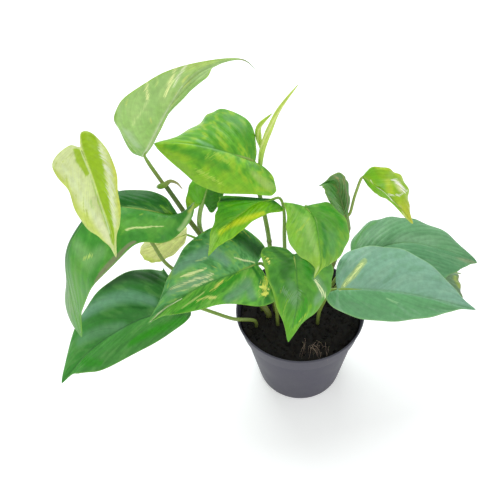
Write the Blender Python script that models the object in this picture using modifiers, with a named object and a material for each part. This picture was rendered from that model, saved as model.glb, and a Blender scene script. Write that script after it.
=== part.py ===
"""A potted pothos: a dark nursery pot of soil, with its leaves on petioles and stems.

The origin is the middle of the pot's base, on the surface it stands on, with +Z up and -Y to the front.
Every leaf is a thin closed blade with its own petiole joined to it. A blade is worked out from a few
points in space: its midrib, and the two shoulders where it is widest. Points are in millimetres.
"""

import math

import bmesh
import bpy
import numpy as np

MM = 0.001
GAP = 0.3

# Pot and soil, in millimetres.
RIM_RADIUS = 60.0
POT_HEIGHT = 95.0
RIM_BAND = 19.0
RIM_BAND_FOOT = 56.0
BODY_TOP = 54.0
BODY_FOOT = 41.0
BASE_RADIUS = 38.5
BASE_ROUND = 3.0
POT_WALL = 1.5
POT_FLOOR = 2.0
POT_STEPS = 48
DRAIN_RADIUS = 3.5
DRAIN_CIRCLE = 27.0
DRAIN_COUNT = 6
SOIL_LEVEL = 86.0
SOIL_MOUND = 3.0
SOIL_LUMPS = 0.8
SOIL_SPOKES = 36
SOIL_RINGS = 6

# How stems stand in the soil: how deep, and how much wider their holes are.
STEM_DEPTH = 15.0
HOLE_CLEARANCE = 0.9

# Blades and stalks, in millimetres.
BLADE = 0.8
ROWS = 12
ACROSS = 3
PETIOLE = 1.7
RIB_END = 0.9
RIB_SHARE = 0.3
STALK_SPACING = 12.0
SHEATH_RADII = (1.6, 1.9, 1.6, 1.0, 0.7, 0.35)

GREEN = (0.13, 0.36, 0.05)
LIGHT_GREEN = (0.26, 0.50, 0.05)
BLUE_GREEN = (0.12, 0.33, 0.15)
DARK_GREEN = (0.05, 0.20, 0.04)
PALE_GREEN = (0.33, 0.55, 0.22)
CREAM = (0.62, 0.70, 0.33)
LIME = (0.38, 0.55, 0.04)
STEM_GREEN = (0.15, 0.30, 0.06)
STEM_BROWN = (0.16, 0.14, 0.06)
POT_GREY = (0.07, 0.065, 0.08)
SOIL_BLACK = (0.012, 0.009, 0.007)

# Where the tables of a leaf's edge stand, as shares of the way from its notch to its tip.
EDGE_AT = (0.0, 0.07, 0.2, 0.42, 0.65, 0.83, 0.94, 1.0)

# Each leaf: its midrib from base to tip, its widest points to the left and right of the midrib as seen
# from above with the tip pointing away, how far the left and right lobes reach back, how much its tip is
# drawn in, how far each half bulges upwards, where its petiole leaves the soil if it does, and the
# petiole's points above that, up to the blade. A half may also turn to a way of its own at the base or tip.
LEAVES = {
    "leaf_top_arch": dict(
        midrib=[(-123, 40, 254), (-97.1, 37.4, 300.2), (-71.8, 32.6, 333.2), (-42, 19.7, 348.7),
                (-28.5, 11.1, 342)],
        left=(-96.6, 34.5, 289.1),
        right=(-131.5, 40.1, 305),
        left_full=(0.52, 0.45, 0.45, 1.71, 1.44, 1.08),
        left_slide=(7.5, 13.2, 14, 11.6, -5, -5),
        right_full=(0.61, 1, 1.07, 0.8, 0.53, 0.46),
        right_slide=(-5.6, -0.3, -1.1, -0.3, -5.2, -2.3),
        lobe=(1, -3),
        tail=(0.9, 0.9),
        bulge=(-2, -5),
        petiole=[(-112.5, 37, 230), (-116, 38, 238), (-119.5, 38.8, 246.5)],
        colour=PALE_GREEN,
    ),
    "leaf_pale_folded": dict(
        midrib=[(-161.9, 9.8, 290.8), (-157.5, 3.2, 273.1), (-154.4, -3.9, 250.1), (-150, -13, 226),
                (-148.7, -23.5, 205.5)],
        left=(-141.1, 6.8, 276.2),
        right=(-183.9, -10, 266.1),
        left_full=(0.45, 0.91, 1.08, 1.07, 1.22, 1.12),
        left_slide=(9.5, 6.4, -3.5, -5.5, -5.6, -9.6),
        right_full=(0.45, 0.94, 0.68, 0.78, 0.81, 0.83),
        right_slide=(2.1, 3.1, 3, 5.9, 0.6, -4.2),
        lobe=(17, 7),
        tail=(0.5, 0.5),
        bulge=(2, 4),
        foot=(-36, 6),
        petiole=[(-46, 4, 108), (-78, 4, 128), (-113, 8, 154), (-126, 16, 177), (-137, 28, 196),
                 (-150, 40, 215), (-157, 36, 240), (-161, 24, 269), (-163, 15, 284)],
        colour=CREAM,
    ),
    "leaf_left_arch": dict(
        midrib=[(-100.5, 13.9, 207), (-117.4, 14.6, 215.7), (-141.8, 16.4, 222.5),
                (-165.1, 14.5, 224.2), (-192.4, -3.3, 195), (-198.5, -13.9, 150.2),
                (-200.5, -20.9, 100.2)],
        left=(-120.5, -12.7, 199.5),
        right=(-123.7, 36.3, 227.8),
        left_full=(1.08, 0.66, 0.83, 0.97, 0.85, 0.81),
        left_slide=(-3.3, -1.2, -9.3, -5.5, -7.3, -11.9),
        right_full=(0.54, 0.64, 0.45, 0.45, 1.09, 2.4),
        right_slide=(-6.4, -4.9, -1.5, 4.2, 10.3, 14),
        left_tip=(0.6, -0.8, 0.0),
        right_tip=(-0.6, 0.8, 0.0),
        lobe=(1, -14),
        tail=(0.35, 0.35),
        bulge=(2, 4),
        petiole=[(-94.5, 20, 198), (-97, 17, 204)],
        colour=DARK_GREEN,
        left_base=(0.55, -0.2, 0.80),
    ),
    "leaf_low_left": dict(
        midrib=[(-100.3, -0.3, 112.7), (-128.7, -1.4, 103.9), (-160.3, -2.7, 90.5),
                (-200.1, -12.4, 67.4), (-232.2, -30.2, 40.8)],
        left=(-148.5, -27.3, 82.9),
        right=(-160, 45.4, 122.8),
        left_full=(0.86, 0.89, 1.05, 1.2, 1.02, 0.71),
        left_slide=(-4.4, 0.4, 8.9, 9.6, 4.4, -2.4),
        right_full=(1.32, 0.84, 0.85, 0.94, 1.1, 1.35),
        right_slide=(14, 7.5, -1.8, -0.4, -1.8, -0.6),
        lobe=(0, 7),
        tail=(0.4, 0.4),
        bulge=(3, 4),
        foot=(-42, -12),
        petiole=[(-46, -12.5, 98), (-62, -13, 102), (-80, -8, 107), (-92, -4, 110)],
        colour=BLUE_GREEN,
    ),
    "leaf_pale_behind": dict(
        midrib=[(-98, 36, 166), (-118, 34, 160), (-142, 34, 152)],
        left=(-124, 24, 146),
        right=(-118, 46, 168),
        lobe=(4, 4),
        tail=(0.1, 0.1),
        bulge=(2, 2),
        foot=(-30, 22),
        petiole=[(-40, 24, 112), (-62, 28, 134), (-84, 34, 156)],
        colour=CREAM,
    ),
    "leaf_upper_heart": dict(
        midrib=[(-34.8, 5, 270), (-54.7, 13.1, 274.2), (-73.9, 23.5, 273.6), (-94.4, 34.3, 270.3),
                (-113.4, 42.4, 264.2)],
        left=(-53.8, -17.4, 253.6),
        right=(-57.1, 51.4, 291.6),
        left_full=(0.45, 0.93, 0.78, 1.08, 1.22, 1.26),
        left_slide=(-3.4, 0.4, -11.8, -6.6, -3.9, -4.1),
        right_full=(0.75, 0.98, 1.02, 0.97, 0.86, 0.8),
        right_slide=(4.9, 3.7, 6.3, -1, 1.7, 5.8),
        lobe=(6, 9),
        tail=(-0.1, 0.6),
        left_tip=(0.1, -0.7, -0.7),
        right_tip=(0.0, 0.85, -0.5),
        bulge=(4, 5),
        petiole=[(-34.5, 7.5, 255.5), (-35, 6, 263)],
        colour=LIGHT_GREEN,
        left_base=(0.45, -0.7, -0.4),
    ),
    "leaf_under_heart": dict(
        midrib=[(-23.1, -0.3, 235.7), (-35.8, -1.7, 233.3), (-46.8, -5.2, 227.8),
                (-62.5, -11.8, 218.1), (-76.4, -25.6, 202.4)],
        left=(-27.5, -12.5, 223.4),
        right=(-71.8, 8.4, 228.9),
        left_full=(1.24, 0.8, 0.59, 0.75, 0.88, 1.03),
        left_slide=(3.9, 8.5, 8.9, 5.4, -2, -6),
        right_full=(1.2, 1.1, 0.89, 0.78, 0.72, 0.78),
        right_slide=(0, -0.2, -5, -8.3, -9.6, -6.5),
        lobe=(6, -6),
        tail=(0.35, 0.35),
        bulge=(2, 3),
        foot=(-13, 1),
        petiole=[(-13, 0, 130), (-14, -2, 189), (-14, 0, 221), (-17, 1, 235)],
        colour=LIGHT_GREEN,
    ),
    "leaf_behind_small": dict(
        midrib=[(-80, 34, 206), (-72, 46, 222), (-60, 57, 238)],
        left=(-92, 40, 215),
        right=(-61, 40, 210),
        lobe=(8, 8),
        tail=(0.4, 0.4),
        bulge=(2, 2),
        petiole=[(-85, 28, 179), (-85, 27, 190), (-83, 30, 200)],
        colour=LIGHT_GREEN,
        stalk=2.2,
    ),
    "leaf_front_mottled": dict(
        midrib=[(-37.7, -24.9, 189.1), (-57.2, -28.1, 183.2), (-81.3, -30.9, 175.1),
                (-109.5, -36.6, 160.3), (-132.2, -42.7, 143.3)],
        left=(-53, -53.2, 158.3),
        right=(-66.4, 1.9, 205.9),
        left_full=(1.6, 1.18, 0.65, 0.61, 0.64, 0.68),
        left_slide=(4.1, 6.5, 7.1, 5.3, 0.1, -5.6),
        right_full=(0.45, 0.85, 1.05, 1.11, 1.08, 1.01),
        right_slide=(-2, 1.7, 2.4, 4.2, -0.8, -2.3),
        left_tip=(0.2, -0.9, 0.1),
        lobe=(12, 7),
        tail=(0.4, 0.4),
        bulge=(3, 4),
        foot=(-22, -13),
        petiole=[(-23, -13, 120), (-27, -14, 160), (-33, -20, 182)],
        colour=GREEN,
    ),
    "leaf_front_centre": dict(
        midrib=[(-9.4, -33.9, 207.1), (-7.8, -42.3, 191.8), (-7.9, -52.4, 173.6),
                (-12.3, -62.4, 157.6), (-17.2, -70.5, 142.5)],
        left=(21.7, -31.8, 181.2),
        right=(-32.8, -38, 202.4),
        left_full=(1.02, 1.03, 1.03, 1.02, 0.99, 0.96),
        left_slide=(0.3, 0.2, 0.1, -0.3, -2.2, -3.7),
        right_full=(0.49, 0.92, 1.05, 1.03, 1.08, 1.05),
        right_slide=(3.9, 2.6, -6.9, -4.2, -4.1, -4.5),
        lobe=(6, 7),
        tail=(0.4, 0.4),
        bulge=(3, 3),
        foot=(-4, -14),
        petiole=[(-5, -14, 120), (-7, -18, 170), (-9, -28, 198)],
        colour=GREEN,
    ),
    "leaf_centre_right": dict(
        midrib=[(1.1, -12, 237), (8.3, -18.8, 229.1), (10.7, -29.4, 214.5), (11.3, -39.2, 200.7),
                (5.3, -46.2, 190.8)],
        left=(35.5, -19.3, 219.5),
        right=(-15.4, -23, 226.9),
        left_full=(1.12, 1.13, 0.99, 0.95, 0.7, 0.45),
        left_slide=(-1, -5.2, -3.1, 0.4, 0.7, -4.3),
        right_full=(0.85, 0.76, 0.99, 1.04, 0.99, 0.94),
        right_slide=(-0.8, 5.5, 2.7, 0.8, -2.8, -6),
        lobe=(6, 7),
        tail=(0.4, 0.4),
        bulge=(4, 3),
        foot=(6, -1),
        petiole=[(7, 1, 130), (7, 2, 190), (4, -3, 226)],
        colour=LIGHT_GREEN,
    ),
    "leaf_small_dark": dict(
        midrib=[(35.5, 8, 208), (31.3, 9.7, 224.6), (25.7, 9.1, 242), (13.8, 4.9, 241.9)],
        left=(37.4, 6.5, 235.6),
        right=(23.9, -1.8, 223.6),
        left_full=(0.6, 0.9, 1.05, 1.06, 0.99, 0.91),
        left_slide=(-6.2, -0.6, 5, 3.4, 3.7, -0.6),
        right_full=(0.45, 0.86, 1.15, 1.31, 1.26, 1.18),
        right_slide=(-1.3, 6.6, 11.5, 10, 4.5, 0.8),
        lobe=(2, 2),
        tail=(0.3, 0.3),
        bulge=(-3, -2),
        petiole=[(35.5, 8, 206.5)],
        colour=DARK_GREEN,
        stalk=1.1,
    ),
    "leaf_young_right": dict(
        midrib=[(48, 8, 246), (57.1, 6.6, 237.7), (67.1, 9.9, 227), (79.6, 7.3, 211.4),
                (93.5, 4.4, 193.4)],
        left=(77, 22.6, 235.7),
        right=(66.1, 2.3, 224.4),
        left_full=(0.85, 1.03, 1, 1.04, 1, 0.96),
        left_slide=(3.4, 4.5, 3.8, 4.3, -0.9, -1.3),
        right_full=(1.02, 0.92, 0.84, 0.77, 0.99, 1.16),
        right_slide=(0.7, -0.8, -1.8, 3.1, 8.2, 3.2),
        lobe=(5, 2),
        tail=(0.5, 0.5),
        bulge=(3, 1),
        petiole=[(41, 8, 207.5), (43, 8, 223), (45, 8, 234), (47, 8, 243)],
        colour=LIME,
        stalk=1.2,
    ),
    "leaf_right_back": dict(
        midrib=[(49, 20, 132), (75, 30, 137), (104.6, 39.1, 132.2), (140.3, 36.7, 120.8),
                (170.4, 30.5, 109.4)],
        left=(90.6, 68.4, 140.1),
        right=(105.6, 11.8, 123.1),
        left_full=(1.4, 1.3, 0.94, 0.85, 1.09, 1.2),
        left_slide=(4.4, 6.1, 0.8, -1.8, -1.9, -2.6),
        right_full=(2.4, 2.26, 1.52, 1.44, 1.31, 1.13),
        right_slide=(14, 14, 14, 4.7, 3.5, 4.2),
        lobe=(12, 8),
        tail=(0.4, 0.4),
        bulge=(4, 4),
        foot=(26, 12),
        petiole=[(29, 13, 104), (36, 15, 119), (43, 18, 128)],
        colour=BLUE_GREEN,
    ),
    "leaf_right_hidden": dict(
        midrib=[(62, 26, 107), (90, 25, 107), (125, 15, 97), (153, 2, 90)],
        left=(130.8, 33.3, 93.9),
        right=(98, 2, 96),
        left_full=(2.4, 2.21, 1.63, 1.28, 1.06, 0.85),
        left_slide=(14, 14, -2.9, -3.5, -1.6, -1.3),
        lobe=(8, 8),
        tail=(0.1, 0.1),
        bulge=(2, 2),
        foot=(36, 22),
        petiole=[(42, 23, 100), (54, 26, 105)],
        colour=GREEN,
    ),
    "leaf_right_front": dict(
        midrib=[(29.6, -20.2, 143.8), (58.1, -19.7, 139.5), (89.4, -19.5, 130.7),
                (124.3, -21.6, 118.5), (155.2, -24.8, 107.1)],
        left=(70.2, 19.1, 154),
        right=(60.9, -38.3, 125.5),
        left_full=(0.94, 0.99, 0.98, 1.09, 1.09, 1.02),
        left_slide=(0.1, 1.2, 3.5, 4.5, 3.7, -2.3),
        right_full=(0.45, 0.87, 1.16, 1.15, 0.95, 0.62),
        right_slide=(-3.2, -4.2, -3.4, 2.1, 2.1, -2.7),
        lobe=(4, 8),
        tail=(0.42, 0.42),
        bulge=(4, 4),
        foot=(15, -14),
        petiole=[(16, -14, 106), (19, -15, 120), (24, -18, 139)],
        colour=BLUE_GREEN,
    ),
}

# Each stem: where it leaves the soil, its points above that, its radius at the foot and at the top, and
# the dried sheath that hooks over its top if it has one.
STEMS = {
    "stem_left": dict(
        foot=(-30, -2),
        points=[(-38, 3, 106), (-60, 11, 140), (-80, 18, 173), (-92, 25, 192), (-98, 29, 204),
                (-109.3, 33.2, 229)],
        radius=(3.0, 1.9),
        sheath=[(-116.5, 38, 222.5), (-114, 34.5, 226), (-109.5, 32.5, 229), (-104.3, 32, 233.2),
                (-99, 32, 230.5), (-95.5, 32, 224)],
        colour=STEM_BROWN,
    ),
    "stem_centre": dict(
        foot=(-23, 3),
        points=[(-24, 6, 120), (-26, 8, 176), (-29, 12, 206), (-33, 11, 235), (-34.5, 8, 251)],
        radius=(2.4, 1.7),
        colour=STEM_GREEN,
    ),
    "stem_right": dict(
        foot=(15, 4),
        points=[(19, 5, 110), (27, 7, 134), (33, 6, 162), (40, 6, 187), (38.5, 8, 204)],
        radius=(2.4, 1.6),
        colour=STEM_BROWN,
    ),
}

# New leaves that are still rolled: their points, and their radius at even steps from base to tip.
ROLLED = {
    "leaf_rolled_new": dict(
        points=[(-31.5, 9, 252), (-31, 9, 262), (-29.5, 9.2, 274), (-26.5, 9.5, 285.5),
                (-22.6, 10, 296.1), (-17.4, 10.5, 308.8), (-10.5, 11, 320), (-2.6, 12, 330.1)],
        radius=(1.2, 2.1, 2.5, 1.6, 0.3),
    ),
    "leaf_narrow_new": dict(
        points=[(-33, 12.5, 248), (-30, 17, 258), (-29, 22, 268), (-30.6, 25.5, 276.7),
                (-30.4, 26.5, 284.5), (-27.1, 26, 290.6), (-20.2, 26, 297.6)],
        radius=(0.8, 0.9, 1.3, 2.6, 1.8, 0.3),
    ),
}


def unit(v):
    return v / np.linalg.norm(v, axis=-1, keepdims=True)


def smooth_path(points, steps=12):
    """A dense smooth line through the points: a Catmull-Rom curve, as an array of positions."""
    p = np.array(points, float)
    p = np.vstack([2 * p[0] - p[1], p, 2 * p[-1] - p[-2]])
    t = np.linspace(0.0, 1.0, steps, endpoint=False)[:, None]
    spans = []
    for a, b, c, d in zip(p[:-3], p[1:-2], p[2:-1], p[3:]):
        bend = 2 * a - 5 * b + 4 * c - d
        twist = 3 * b - a - 3 * c + d
        spans.append(0.5 * (2 * b + (c - a) * t + bend * t**2 + twist * t**3))
    return np.vstack(spans + [p[-2:-1]])


class Route:
    """A smooth line that is read by the length along it, and that runs straight on before its start."""

    def __init__(self, points):
        self.line = smooth_path(points)
        steps = np.linalg.norm(np.diff(self.line, axis=0), axis=1)
        self.at = np.concatenate([[0.0], np.cumsum(steps)])
        self.length = self.at[-1]
        self.first = unit(self.line[2] - self.line[0])

    def point(self, s):
        s = np.asarray(s, float)
        inside = np.stack([np.interp(s, self.at, self.line[:, k]) for k in range(3)], -1)
        return inside + np.minimum(s, 0.0)[..., None] * self.first

    def heading(self, s):
        s = np.clip(s, 0.0, self.length)
        step = 0.02 * self.length
        ahead = self.point(np.minimum(s + step, self.length))
        return unit(ahead - self.point(np.maximum(s - step, 0.0)))


# Where a leaf's edge is widest and where its lobes reach back most, from the notch at 0 to the tip at 1.
WIDEST = 0.42
LOBE_AT = 0.14
# The share of the midrib over which a half turns from its base direction to its shoulder's.
BASE_SHARE = 0.2


def leaf_edge(t, length, lobe, tail):
    """How far along the midrib the edge is, and its share of the half width, at t from notch to tip.

    Along grows with t to the power 1.5, less a lobe that rises quickly to its full reach and dies away.
    Width is a sine hump made fuller, drawn in towards the tip by tail.
    """
    along = length * t**1.5 - 1.5 * lobe * (t / LOBE_AT) * np.exp(1 - t / LOBE_AT)
    hump = np.clip(np.sin(math.pi * t**0.8), 0.0, 1.0) ** 0.7
    return along, hump * (1 - tail * t**5)


def along_edge(values, first, last, t):
    """A leaf's table read at t: its values stand at EDGE_AT between first and last, joined smoothly."""
    line = smooth_path(np.column_stack([EDGE_AT, [first, *values, last]]), steps=8)
    return np.interp(t, line[:, 0], line[:, 1])


def half_shape(leaf, half, t):
    """How much fuller than the plain heart a half is at t, and how far its edge is slid along the midrib."""
    full = leaf.get(half + "_full", (1.0,) * 6)
    slide = leaf.get(half + "_slide", (0.0,) * 6)
    return along_edge(full, full[0], full[-1], t), along_edge(slide, 0.0, 0.0, t)


def blade_surface(leaf, rows, across):
    """The middle surface of a leaf as a grid of points, and the way it faces: rows from notch to tip.

    A column runs from the left edge over the midrib to the right edge. A point stands on the midrib's route,
    moved towards the shoulder on its side, and is lifted by the bulge, which is highest halfway out.
    """
    route = Route(leaf["midrib"])
    t = np.linspace(0.0, 1.0, rows + 1)[:, None] ** 1.25
    a = np.linspace(-1.0, 1.0, 2 * across + 1)[None, :]
    on_left = a < 0
    lobe = np.where(on_left, leaf["lobe"][0], leaf["lobe"][1])
    tail = np.where(on_left, leaf["tail"][0], leaf["tail"][1])
    along, width = leaf_edge(t, route.length, lobe, tail)
    left_half = half_shape(leaf, "left", t)
    right_half = half_shape(leaf, "right", t)
    width = width * np.where(on_left, left_half[0], right_half[0])
    along = along + np.where(on_left, left_half[1], right_half[1])
    rib = route.length * t**1.7
    s = rib + (along - rib) * np.abs(a)
    share = np.clip(s / route.length, 0.0, 1.0)[..., None]
    sides = []
    for half in ("left", "right"):
        widest_at, _ = leaf_edge(WIDEST, route.length, leaf["lobe"][half == "right"], 0.0)
        reach = np.array(leaf[half], float) - route.point(widest_at)
        base_way = unit(np.array(leaf.get(half + "_base", reach), float))
        tip_way = unit(np.array(leaf.get(half + "_tip", reach), float))
        way = unit(reach) * (1 - share) + tip_way * share
        near_base = np.clip(1 - share / BASE_SHARE, 0.0, 1.0) ** 2
        sides.append(np.linalg.norm(reach) * unit(way + (base_way - way) * near_base))
    side = np.where(on_left[..., None], sides[0], sides[1])
    face = unit(np.cross(unit(sides[1]) - unit(sides[0]), route.heading(s)))
    bulge = np.where(on_left, leaf["bulge"][0], leaf["bulge"][1]) * 4 * np.abs(a) * (1 - np.abs(a)) * width
    points = route.point(s) + side * (np.abs(a) * width)[..., None] + face * bulge[..., None]
    return points, face


def new_object(name, vertices, faces, parts):
    mesh = bpy.data.meshes.new(name)
    mesh.from_pydata([tuple(v) for v in np.asarray(vertices) * MM], [], faces)
    obj = bpy.data.objects.new(name, mesh)
    parts.objects.link(obj)
    return obj


def blade_object(name, leaf, parts):
    """A closed blade: the same triangles on both faces, half a thickness to each side of its middle."""
    grid, face = blade_surface(leaf, ROWS, ACROSS)
    columns = 2 * ACROSS + 1
    middle = np.vstack([grid[0, ACROSS], grid[1:-1].reshape(-1, 3), grid[-1, ACROSS]])
    normals = np.vstack([face[0, ACROSS], face[1:-1].reshape(-1, 3), face[-1, ACROSS]])
    count = len(middle)

    def at(row, column):
        if row == 0:
            return 0
        if row == ROWS:
            return count - 1
        return 1 + (row - 1) * columns + column

    top = []
    for row in range(ROWS):
        for column in range(columns - 1):
            a, b = at(row, column), at(row, column + 1)
            c, d = at(row + 1, column + 1), at(row + 1, column)
            if row == 0:
                top.append((a, c, d))
            elif row == ROWS - 1:
                top.append((a, b, c))
            elif column < ACROSS:
                top += [(a, b, d), (b, c, d)]
            else:
                top += [(a, b, c), (a, c, d)]
    edge = [at(row, 0) for row in range(ROWS + 1)]
    edge += [at(row, columns - 1) for row in range(ROWS - 1, 0, -1)]
    faces = top + [(i + count, k + count, j + count) for i, j, k in top]
    for i, j in zip(edge, edge[1:] + edge[:1]):
        faces += [(i, j, j + count), (i, j + count, i + count)]
    vertices = np.vstack([middle + normals * BLADE / 2, middle - normals * BLADE / 2])
    return new_object(name, vertices, faces, parts)


def tube_object(name, points, radii, parts, spacing=STALK_SPACING):
    """A round stalk through the points: a poly curve with a bevel and filled caps, made a mesh."""
    route = Route(points)
    count = max(3, round(route.length / spacing) + 1)
    s = np.linspace(0.0, route.length, count)
    widths = np.interp(s / route.length, np.linspace(0.0, 1.0, len(radii)), radii)
    curve = bpy.data.curves.new(name + "_line", "CURVE")
    curve.dimensions = "3D"
    curve.bevel_depth = MM
    curve.bevel_resolution = 1
    curve.use_fill_caps = True
    spline = curve.splines.new("POLY")
    spline.points.add(count - 1)
    for point, place, width in zip(spline.points, route.point(s), widths):
        point.co = (*(place * MM), 1.0)
        point.radius = width
    holder = bpy.data.objects.new(name + "_line", curve)
    parts.objects.link(holder)
    bpy.context.view_layer.update()
    graph = bpy.context.evaluated_depsgraph_get()
    mesh = bpy.data.meshes.new_from_object(holder.evaluated_get(graph))
    bpy.data.objects.remove(holder)
    bm = bmesh.new()
    bm.from_mesh(mesh)
    bmesh.ops.remove_doubles(bm, verts=bm.verts, dist=1e-6)
    bmesh.ops.recalc_face_normals(bm, faces=bm.faces)
    bm.to_mesh(mesh)
    bm.free()
    obj = bpy.data.objects.new(name, mesh)
    parts.objects.link(obj)
    return obj


def combine(base, others, operation, name):
    """A Boolean of the base with the others, applied, with the others removed."""
    group = bpy.data.collections.new(name + "_pieces")
    bpy.context.scene.collection.children.link(group)
    for other in others:
        for owner in other.users_collection:
            owner.objects.unlink(other)
        group.objects.link(other)
    boolean = base.modifiers.new(name, "BOOLEAN")
    boolean.operation = operation
    boolean.operand_type = "COLLECTION"
    boolean.collection = group
    boolean.solver = "EXACT"
    bpy.context.view_layer.update()
    graph = bpy.context.evaluated_depsgraph_get()
    mesh = bpy.data.meshes.new_from_object(base.evaluated_get(graph))
    base.modifiers.clear()
    base.data = mesh
    for other in others:
        bpy.data.objects.remove(other)
    bpy.data.collections.remove(group)


def paint(obj, colour, roughness):
    """Its own material: a plain Principled finish, with smooth shading between sharp edges."""
    material = bpy.data.materials.new(obj.name)
    material.use_nodes = True
    shader = material.node_tree.nodes["Principled BSDF"]
    shader.inputs["Base Color"].default_value = (*colour, 1.0)
    shader.inputs["Roughness"].default_value = roughness
    shader.inputs["Metallic"].default_value = 0.0
    obj.data.materials.clear()
    obj.data.materials.append(material)
    obj.data.shade_smooth()
    obj.data.set_sharp_from_angle(angle=math.radians(40))


def standing(foot, points):
    """The points of a stalk that stands upright in the soil before it bends away."""
    x, y = foot
    return [(x, y, SOIL_LEVEL - STEM_DEPTH), (x, y, SOIL_LEVEL - 3), (x, y, SOIL_LEVEL + 7)] + points


def make_leaf(name, leaf, parts):
    """A blade, and a petiole that runs on under the midrib as its raised rib."""
    blade = blade_object(name, leaf, parts)
    route = Route(leaf["midrib"])
    stalk = standing(leaf["foot"], leaf["petiole"]) if "foot" in leaf else list(leaf["petiole"])
    stalk += [tuple(route.point(share * route.length)) for share in (0.02, RIB_SHARE)]
    radius = leaf.get("stalk", PETIOLE)
    petiole = tube_object(name + "_petiole", stalk, (radius, radius, radius, RIB_END), parts)
    combine(blade, [petiole], "UNION", name)
    paint(blade, leaf["colour"], 0.35)


def make_stems(parts):
    for name, stem in STEMS.items():
        obj = tube_object(name, standing(stem["foot"], stem["points"]), stem["radius"], parts)
        if "sheath" in stem:
            sheath = tube_object(name + "_sheath", stem["sheath"], SHEATH_RADII, parts, spacing=5.0)
            combine(obj, [sheath], "UNION", name)
        paint(obj, stem["colour"], 0.5)
    for name, leaf in ROLLED.items():
        obj = tube_object(name, leaf["points"], leaf["radius"], parts, spacing=8.0)
        paint(obj, LIME, 0.35)


def pot_inside(z):
    """The radius of the pot's inner wall at a height."""
    heights = (POT_FLOOR, POT_HEIGHT - RIM_BAND - 1.0, POT_HEIGHT)
    radii = (BODY_FOOT - POT_WALL, BODY_TOP - POT_WALL, RIM_RADIUS - POT_WALL)
    return float(np.interp(z, heights, radii))


def make_pot(parts):
    """A thin-walled pot turned from one profile, with a deep rim band and round drain holes in its floor."""
    step = POT_HEIGHT - RIM_BAND
    outside = [
        (RIM_RADIUS - 0.4, POT_HEIGHT),
        (RIM_RADIUS, POT_HEIGHT - 0.5),
        (RIM_BAND_FOOT, step + 0.6),
        (RIM_BAND_FOOT - 0.6, step),
        (BODY_TOP, step - 0.4),
        (BODY_FOOT, BASE_ROUND),
        (BODY_FOOT - 0.8, BASE_ROUND * 0.3),
        (BASE_RADIUS, 0.0),
        (0.0, 0.0),
    ]
    inside = [(0.0, POT_FLOOR)]
    inside += [(pot_inside(z), z) for z in (POT_FLOOR, step - 1.0, POT_HEIGHT - 0.5)]
    inside += [(RIM_RADIUS - POT_WALL + 0.4, POT_HEIGHT)]
    profile = outside + inside
    count = len(profile)
    mesh = bpy.data.meshes.new("pot")
    edges = [(i, (i + 1) % count) for i in range(count)]
    edges.remove((len(outside) - 1, len(outside)))
    mesh.from_pydata([(r * MM, 0.0, z * MM) for r, z in profile], edges, [])
    pot = bpy.data.objects.new("pot", mesh)
    parts.objects.link(pot)
    screw = pot.modifiers.new("turn", "SCREW")
    screw.axis = "Z"
    screw.steps = POT_STEPS
    screw.render_steps = POT_STEPS
    screw.use_merge_vertices = True
    screw.merge_threshold = 1e-5
    holes = []
    for k in range(DRAIN_COUNT):
        angle = 2 * math.pi * (k + 0.5) / DRAIN_COUNT
        x, y = DRAIN_CIRCLE * math.cos(angle), DRAIN_CIRCLE * math.sin(angle)
        place = (x * MM, y * MM, POT_FLOOR / 2 * MM)
        bpy.ops.mesh.primitive_cylinder_add(
            vertices=16, radius=DRAIN_RADIUS * MM, depth=(POT_FLOOR + 4) * MM, location=place
        )
        holes.append(bpy.context.object)
    combine(pot, holes, "DIFFERENCE", "pot")
    paint(pot, POT_GREY, 0.5)


def soil_height(r, angle, rim):
    """The soil's surface: a low mound with gentle lumps that fade out at the pot's wall."""
    share = r / rim
    lumps = np.sin(0.21 * r + 2 * angle) + np.cos(0.34 * r - 3 * angle + 1.0) + np.sin(5 * angle + 0.1 * r)
    return SOIL_LEVEL + SOIL_MOUND * (1 - share**2) + SOIL_LUMPS * lumps * share * (1 - share**4)


def make_soil(parts):
    """Soil that fills the pot to just below its rim, with a plain hole for each stalk that stands in it."""
    rim = pot_inside(SOIL_LEVEL) - GAP
    angles = np.linspace(0, 2 * math.pi, SOIL_SPOKES, endpoint=False)
    rings = [rim * k / SOIL_RINGS for k in range(1, SOIL_RINGS + 1)]
    walls = [(pot_inside(z) - GAP, z) for z in (POT_HEIGHT - RIM_BAND - 1.0, POT_FLOOR + GAP)]
    vertices = []
    for r in rings:
        heights = soil_height(r, angles, rim)
        vertices += [(r * math.cos(a), r * math.sin(a), z) for a, z in zip(angles, heights)]
    for r, z in walls:
        vertices += [(r * math.cos(a), r * math.sin(a), z) for a in angles]
    top = len(vertices)
    vertices += [(0.0, 0.0, SOIL_LEVEL + SOIL_MOUND), (0.0, 0.0, POT_FLOOR + GAP)]
    faces = []
    circles = len(rings) + len(walls)
    for k in range(SOIL_SPOKES):
        after = (k + 1) % SOIL_SPOKES
        faces.append((top, k, after))
        last = (circles - 1) * SOIL_SPOKES
        faces.append((top + 1, last + after, last + k))
        for ring in range(circles - 1):
            here, below = ring * SOIL_SPOKES, (ring + 1) * SOIL_SPOKES
            faces += [(here + k, below + k, below + after), (here + k, below + after, here + after)]
    soil = new_object("soil", vertices, faces, parts)
    holes = []
    feet = [(leaf["foot"], PETIOLE) for leaf in LEAVES.values() if "foot" in leaf]
    feet += [(stem["foot"], stem["radius"][0]) for stem in STEMS.values()]
    for (x, y), radius in feet:
        bpy.ops.mesh.primitive_cylinder_add(
            vertices=12,
            radius=(radius + HOLE_CLEARANCE) * MM,
            depth=2 * (STEM_DEPTH + 1) * MM,
            location=(x * MM, y * MM, (SOIL_LEVEL + 0.5) * MM),
        )
        holes.append(bpy.context.object)
    combine(soil, holes, "DIFFERENCE", "soil")
    paint(soil, SOIL_BLACK, 0.95)


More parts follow.
